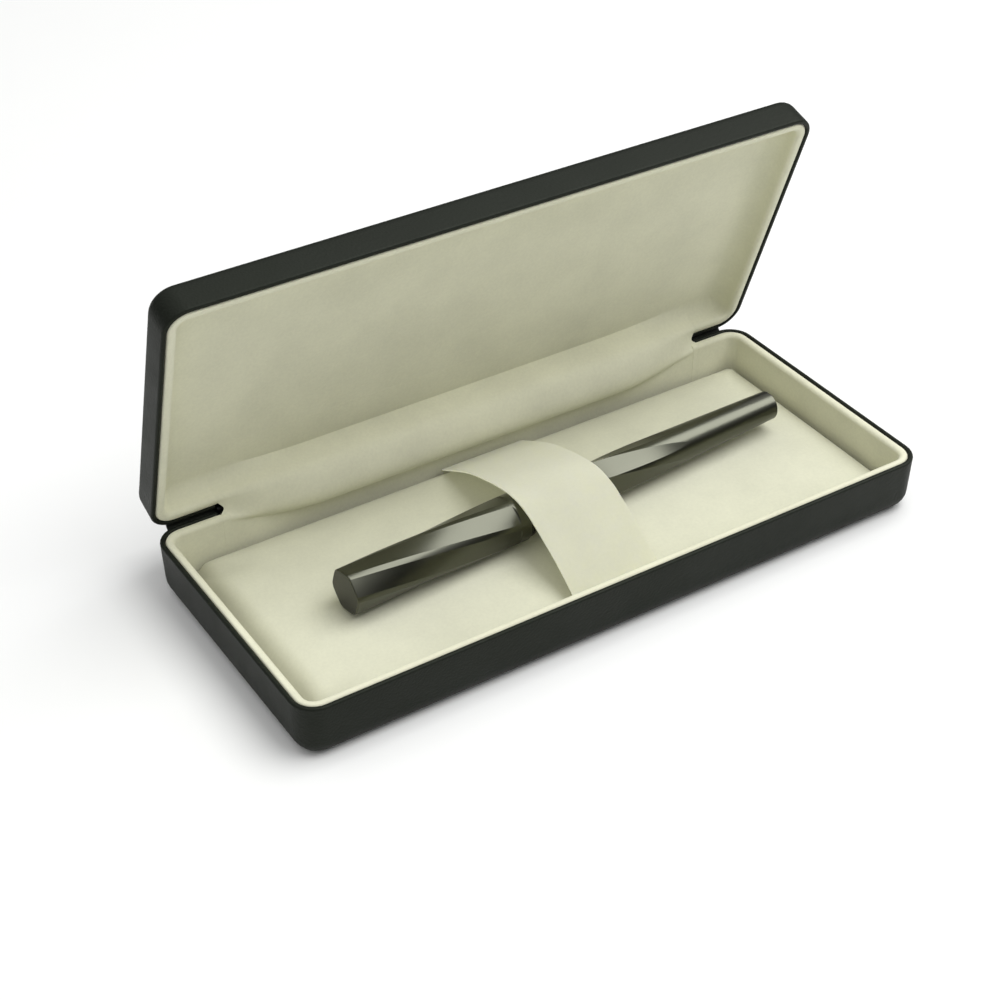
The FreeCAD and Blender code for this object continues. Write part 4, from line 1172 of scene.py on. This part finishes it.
def ribbon_materials(ribbon):
    """The ribbon's silk, and the same silk for its underside, which glows as painted light for the
    light coming through.
    """
    silk = cloth_material(
        "ribbon_silk", ribbon.silk, dark=0.96, sheen=0.15, fibre=3800.0, depth=0.00002
    )
    shader = silk.node_tree.nodes["Principled BSDF"]
    shader.inputs["Subsurface Weight"].default_value = 1.0
    shader.inputs["Subsurface Radius"].default_value = SCATTER
    shader.inputs["Subsurface Scale"].default_value = 2 * ribbon.thickness
    under = silk.copy()
    under.name = "ribbon_silk_under"
    shader = under.node_tree.nodes["Principled BSDF"]
    # Painted light: the underside's silk glows though it is no lamp
    shader.inputs["Emission Color"].default_value = (*ribbon.silk, 1.0)
    shader.inputs["Emission Strength"].default_value = ribbon.painted_glow
    return silk, under


class RibbonStrap(bpy.types.Operator):
    """Ribbon that arches over the pen and is tucked in behind and in front"""

    bl_idname = "penbox.ribbon_strap"
    bl_label = "Ribbon"

    def execute(self, context):
        ribbon = context.scene.penbox_ribbon
        line = [
            (ribbon.reach * along, ribbon.start + ribbon.rise * up) for along, up in RIBBON_LINE
        ]
        foot = ribbon.start - ribbon.tuck
        rear = spaced([(ribbon.reach, foot), line[0]], TUCK_POINTS)
        front = spaced([line[-1], (-ribbon.reach, foot)], TUCK_POINTS)
        arch = rear[:-1] + smooth_line(line, ARCH_POINTS) + front[1:]
        rows = len(arch) - 1
        bm = bmesh.new()
        bmesh.ops.create_grid(bm, x_segments=RIBBON_COLUMNS, y_segments=rows, size=1.0)
        turn = Matrix.Rotation(-ribbon.skew, 3, "Z")
        for vert in bm.verts:
            row = round((vert.co.y + 1) / 2 * rows)
            point = arch[row]
            place = turn @ Vector((vert.co.x * ribbon.width / 2, 0.0, 0.0))
            slide = turn @ Vector((0.0, point.x, 0.0))
            vert.co = (
                ribbon.shift + place.x + slide.x,
                point.x + place.y * (1 - abs(point.x) / ribbon.reach),
                point.y,
            )
        thickened(bm, -ribbon.thickness)
        bmesh.ops.recalc_face_normals(bm, faces=bm.faces)
        silk, under = ribbon_materials(ribbon)
        bm.normal_update()
        # faces that face down take the glowing silk, which is painted light
        for face in bm.faces:
            face.material_index = 1 if face.normal.z < 0.0 else 0
        piece = finished("ribbon", bm, silk, "base")
        piece.data.materials.append(under)
        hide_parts("ribbon_strap")
        return {"FINISHED"}


# Pen


FLAT_STEPS = 8      # divisions across a flat
LAND_STEPS = 8      # divisions across the round land between two flats
LEAST_FLAT = math.radians(4)    # half angle that a run-out flat keeps
LEAST_LAND = math.radians(1)    # angle that the narrowest land keeps
PEN_SMOOTH_BELOW = math.radians(9)  # edges of the pen that bend less are shaded smooth
PEN_STEP = 0.0012       # distance between the pen's rings
COVE_STEPS = 4          # divisions of the flats' run-out at the cap's collar
CAP_EDGE_STEPS = 5      # divisions of the rounded edge at the cap's end
BORE_EDGE = 0.0001      # broken edge of the cap's bore
BARREL_MOUTH = 0.7      # hidden start of the barrel, of the ring's radius
RING_EDGE = 0.00012     # broken edges of the ring
GROOVE_DEPTH = 0.0002   # groove round the ring
GROOVE_MOUTH = 0.00018  # half width of the groove at the ring's outside
GROOVE_FLOOR = 0.0001   # half width of the groove at its bottom
MILLIMETRE = 0.001


def flatted_ring(pen, share, bulge=0.0):
    """Angles round the pen and their shares of the radius; flats lie at a share of it."""
    sector = 2 * math.pi / pen.flats
    edge = math.acos(min(share, 1.0))
    edge = min(max(edge, LEAST_FLAT), (sector - LEAST_LAND) / 2)
    turns = [edge * (2 * step / FLAT_STEPS - 1) for step in range(FLAT_STEPS + 1)]
    turns += [edge + (sector - 2 * edge) * step / LAND_STEPS for step in range(1, LAND_STEPS)]
    points = []
    for number in range(pen.flats):
        middle = (number + 0.5) * sector
        for turn in turns:
            near = turn if turn < sector / 2 else turn - sector
            flat = min(1.0, share / math.cos(near))
            points.append((middle + turn, flat + (1 - flat) * bulge))
    return points


def pen_matrix(pen):
    """Places a piece made upright, from the cap's end, along the lying pen."""
    down = Vector((0.0, 0.0, -1.0))
    side = PEN_DIRECTION.cross(down)
    start = Vector((-pen.left, -pen.front, pen.height))
    turn = Matrix((down, side, PEN_DIRECTION)).transposed().to_4x4()
    return Matrix.Translation(start) @ turn


def turned(bm, pen, stations, turn_start=0.0, bulge=0.0):
    """Rings along the pen: each station is a height, a radius and the share of it at the flats."""
    edges = None
    for height, radius, flat_share in stations:
        ring = flatted_ring(pen, flat_share, bulge)
        twist = turn_start + math.radians(pen.twist) * height / MILLIMETRE
        if edges is None:
            verts = bmesh.ops.create_circle(bm, segments=len(ring), radius=1.0)["verts"]
            edges = list(bm.edges)
            bmesh.ops.edgeloop_fill(bm, edges=edges)
        else:
            fresh, edges = extruded(bm, edges)
            verts = [
                next(e.other_vert(old) for e in old.link_edges if e.other_vert(old) in fresh)
                for old in verts
            ]
        for vert, (turn, share) in zip(verts, ring):
            reach = radius * share
            vert.co = (reach * math.cos(turn + twist), reach * math.sin(turn + twist), height)
    bmesh.ops.edgeloop_fill(bm, edges=edges)


def span(start, end, step):
    """Heights from start to end, about a step apart."""
    count = max(1, round((end - start) / step))
    return [start + (end - start) * number / count for number in range(count + 1)]


class PenPieces(bpy.types.Operator):
    """Twisted metal pen: cap, ring and barrel"""

    bl_idname = "penbox.pen_pieces"
    bl_label = "Pen"

    def execute(self, context):
        pen = context.scene.penbox_pen
        metal = metal_material("pen_gunmetal", pen.metal, roughness=0.28, wear=0.03)
        trim = trim_material()
        self.cap(pen, metal, trim)
        self.barrel(pen, metal)
        self.ring(pen, trim)
        return {"FINISHED"}

    def cap(self, pen, metal, trim):
        flats_end = pen.cap_length - pen.collar
        stations = [
            (pen.chamfer - height, pen.cap_end - pen.chamfer + out, pen.flat_end)
            for out, height in arc((0.0, 0.0), pen.chamfer, QUARTER, 0.0, CAP_EDGE_STEPS)[:-1]
        ]
        for height in span(pen.chamfer, flats_end, PEN_STEP):
            grow = height / flats_end
            share = pen.flat_end + (pen.flat_mouth - pen.flat_end) * grow
            stations.append((height, pen.cap_end + (pen.radius - pen.cap_end) * grow, share))
        for step in range(1, COVE_STEPS + 1):
            rise = 1 - math.cos(QUARTER * step / COVE_STEPS)
            share = pen.flat_mouth + (1 - pen.flat_mouth) * rise
            height = flats_end + pen.cove * math.sin(QUARTER * step / COVE_STEPS)
            stations.append((height, pen.radius, share))
        stations += [
            (pen.cap_length - pen.chamfer / 2, pen.radius, 1.0),
            (pen.cap_length, pen.radius - pen.chamfer / 2, 1.0),
            (pen.cap_length, pen.bore + BORE_EDGE, 1.0),
            (pen.cap_length - BORE_EDGE, pen.bore, 1.0),
            (pen.cap_floor, pen.bore, 1.0),
        ]
        bm = bmesh.new()
        turned(bm, pen, stations, pen.cap_turn, pen.flat_bulge)
        bm.faces.ensure_lookup_table()
        # Painted shade: the cap's end face takes the black trim, standing in for the darkness of
        # the shaded things it mirrors
        bm.faces[0].material_index = 1
        piece = self.laid("pen_cap_metal", bm, pen, metal, "pen_cap")
        piece.data.materials.append(trim)
        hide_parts("pen_cap")

    def barrel(self, pen, metal):
        start = pen.barrel_start
        stations = [(start, pen.ring_radius * BARREL_MOUTH, 1.0)]
        for height in span(start, pen.pen_length - pen.chamfer, PEN_STEP):
            grow = (height - start) / (pen.pen_length - start)
            radius = pen.radius + (pen.tail - pen.radius) * grow
            stations.append((height, radius, pen.barrel_flat / radius))
        stations.append((pen.pen_length, pen.tail - pen.chamfer, pen.barrel_flat / pen.tail))
        bm = bmesh.new()
        turned(bm, pen, stations, pen.barrel_turn)
        piece = self.laid("pen_barrel_metal", bm, pen, metal, "pen")
        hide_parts("pen_barrel")

    def ring(self, pen, trim):
        radius = pen.ring_radius
        middle = (pen.ring_start + pen.barrel_start) / 2
        outline = [
            (pen.ring_start, pen.bore),
            (pen.ring_start, radius - RING_EDGE),
            (pen.ring_start + RING_EDGE, radius),
            (middle - GROOVE_MOUTH, radius),
            (middle - GROOVE_FLOOR, radius - GROOVE_DEPTH),
            (middle + GROOVE_FLOOR, radius - GROOVE_DEPTH),
            (middle + GROOVE_MOUTH, radius),
            (pen.barrel_start - RING_EDGE, radius),
            (pen.barrel_start, radius - RING_EDGE),
        ]
        bm = bmesh.new()
        turned(bm, pen, [(height, out, 1.0) for height, out in outline])
        piece = self.laid("pen_ring_metal", bm, pen, trim, "pen")
        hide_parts("pen_ring")

    def laid(self, name, bm, pen, material, body):
        """A piece made upright, laid along the pen."""
        bmesh.ops.recalc_face_normals(bm, faces=bm.faces)
        bmesh.ops.transform(bm, matrix=pen_matrix(pen), verts=bm.verts)
        return finished(name, bm, material, body, PEN_SMOOTH_BELOW)


class HiddenParts(bpy.types.Operator):
    """Finishes of the steel, card and writing parts that the covers hide"""

    bl_idname = "penbox.hidden_parts"
    bl_label = "Steel, card and refill"

    def execute(self, context):
        finish = context.scene.penbox_finish
        black = metal_material("blackened_steel", finish.blackened, roughness=0.5)
        card = plain_material("grey_card", finish.card, roughness=0.85)
        grip = plain_material("grip", finish.grip, roughness=0.35, depth=0.00002, tooth=2400.0)
        brass = metal_material("refill_brass", finish.brass, roughness=0.25)
        finishes = (
            (steel_material(), ("base_shell", "lid_shell")),
            (card, ("base_liner", "lid_liner", "pad_board", "lid_board")),
            (black, ("base_hinge_leaf", "lid_hinge_leaf", "hinge_pin")),
            (black, ("base_hinge_rivets", "lid_hinge_rivets")),
            (grip, ("grip_section",)),
            (brass, ("pen_refill",)),
            (trim_material(), ("cap_sleeve",)),
        )
        for material, nodes in finishes:
            for node in nodes:
                for slot in frame["nodes"][node].material_slots:
                    slot.material = material
        return {"FINISHED"}


# Stage


TOP_SIZE = (1.0, 1.1)
CARD_SIZE = (0.7, 1.25)
SENSOR_WIDTH = 36.0     # mm
NEAR_CLIP = 0.01


def soft_light(name, place, size, power):
    """A rectangular light that points straight down."""
    light = bpy.data.lights.new(name, "AREA")
    light.shape = "RECTANGLE"
    light.size = size[0]
    light.size_y = size[1]
    light.energy = power
    made = bpy.data.objects.new(name, light)
    made.location = place
    made.rotation_euler = Vector((0.0, 0.0, -1.0)).to_track_quat("-Z", "Y").to_euler()
    bpy.context.scene.collection.objects.link(made)
    return made


class Stage(bpy.types.Operator):
    """Pale floor, soft lights and the camera"""

    bl_idname = "penbox.stage"
    bl_label = "Stage"

    def execute(self, context):
        stage = context.scene.penbox_stage
        self.floor(stage)
        self.sky(stage)
        soft_light("top", stage.top_place, TOP_SIZE, stage.top_power)
        card = soft_light("card", stage.card_place, CARD_SIZE, stage.card_power)
        card.visible_diffuse = False
        self.camera(stage)
        return {"FINISHED"}

    def floor(self, stage):
        bm = bmesh.new()
        bmesh.ops.create_grid(bm, x_segments=1, y_segments=1, size=stage.floor_half)
        material = mottled(
            "floor", stage.floor, light=1.0, dark=0.99, patch=6.0, fleck=60.0,
            uniform={"Roughness": 0.7, "Specular IOR Level": 0.2},
        )[0]
        finished("floor", bm, material)

    def sky(self, stage):
        world = bpy.data.worlds.new("studio")
        world.use_nodes = True
        tree = world.node_tree
        direction = tree.nodes.new("ShaderNodeTexCoord")
        split = add_node(tree, "ShaderNodeSeparateXYZ", {0: direction.outputs["Generated"]})
        ramp = add_node(tree, "ShaderNodeMapRange", {
            "Value": split.outputs["Z"],
            "From Min": math.sin(stage.sky_low), "From Max": math.sin(stage.sky_high),
            "To Min": stage.horizon_strength, "To Max": stage.sky_strength,
        }, interpolation_type="SMOOTHSTEP")
        seen = tree.nodes.new("ShaderNodeLightPath").outputs["Is Camera Ray"]
        backdrop = math_node(tree, "MAXIMUM", seen, ramp.outputs["Result"])
        background = tree.nodes["Background"]
        background.inputs["Color"].default_value = (*stage.sky, 1.0)
        tree.links.new(backdrop, background.inputs["Strength"])
        bpy.context.scene.world = world

    def camera(self, stage):
        scene = bpy.context.scene
        lens = bpy.data.cameras.new("camera")
        lens.lens = stage.lens
        lens.sensor_width = SENSOR_WIDTH
        lens.clip_start = NEAR_CLIP
        camera = bpy.data.objects.new("camera", lens)
        camera.location = stage.camera
        camera.rotation_euler = Vector(stage.aim).to_track_quat("-Z", "Y").to_euler()
        scene.collection.objects.link(camera)
        scene.camera = camera
        scene.view_settings.view_transform = "Standard"


class PenBoxPanel(bpy.types.Panel):
    """Lists the pieces of the pen box"""

    bl_idname = "VIEW3D_PT_penbox"
    bl_label = "Pen box"
    bl_space_type = "VIEW_3D"
    bl_region_type = "UI"
    bl_category = "Pen box"

    def draw(self, context):
        for operator in OPERATORS:
            self.layout.operator(operator.bl_idname)
        for name in SETTINGS:
            group = getattr(context.scene, name)
            box = self.layout.box()
            box.label(text=group.bl_rna.description)
            for prop in group.__annotations__:
                box.prop(group, prop)


OPERATORS = (
    CaseCovers, Linings, HingePieces, PaddedInsert, RibbonStrap, PenPieces, HiddenParts, Stage,
)
SETTINGS = {
    "penbox_case": CaseSettings,
    "penbox_lining": LiningSettings,
    "penbox_hinge": HingeSettings,
    "penbox_pad": PadSettings,
    "penbox_ribbon": RibbonSettings,
    "penbox_pen": PenSettings,
    "penbox_finish": FinishSettings,
    "penbox_stage": StageSettings,
}


def register():
    for group in SETTINGS.values():
        bpy.utils.register_class(group)
    for operator in OPERATORS:
        bpy.utils.register_class(operator)
    bpy.utils.register_class(PenBoxPanel)
    for name, group in SETTINGS.items():
        setattr(bpy.types.Scene, name, PointerProperty(type=group))


def unregister():
    for name in SETTINGS:
        delattr(bpy.types.Scene, name)
    bpy.utils.unregister_class(PenBoxPanel)
    for operator in OPERATORS:
        bpy.utils.unregister_class(operator)
    for group in SETTINGS.values():
        bpy.utils.unregister_class(group)


def main():
    register()
    bpy.ops.penbox.case_covers()
    bpy.ops.penbox.linings()
    bpy.ops.penbox.hinge_pieces()
    bpy.ops.penbox.padded_insert()
    bpy.ops.penbox.ribbon_strap()
    bpy.ops.penbox.pen_pieces()
    bpy.ops.penbox.hidden_parts()
    bpy.ops.penbox.stage()


if __name__ == "__main__":
    main()
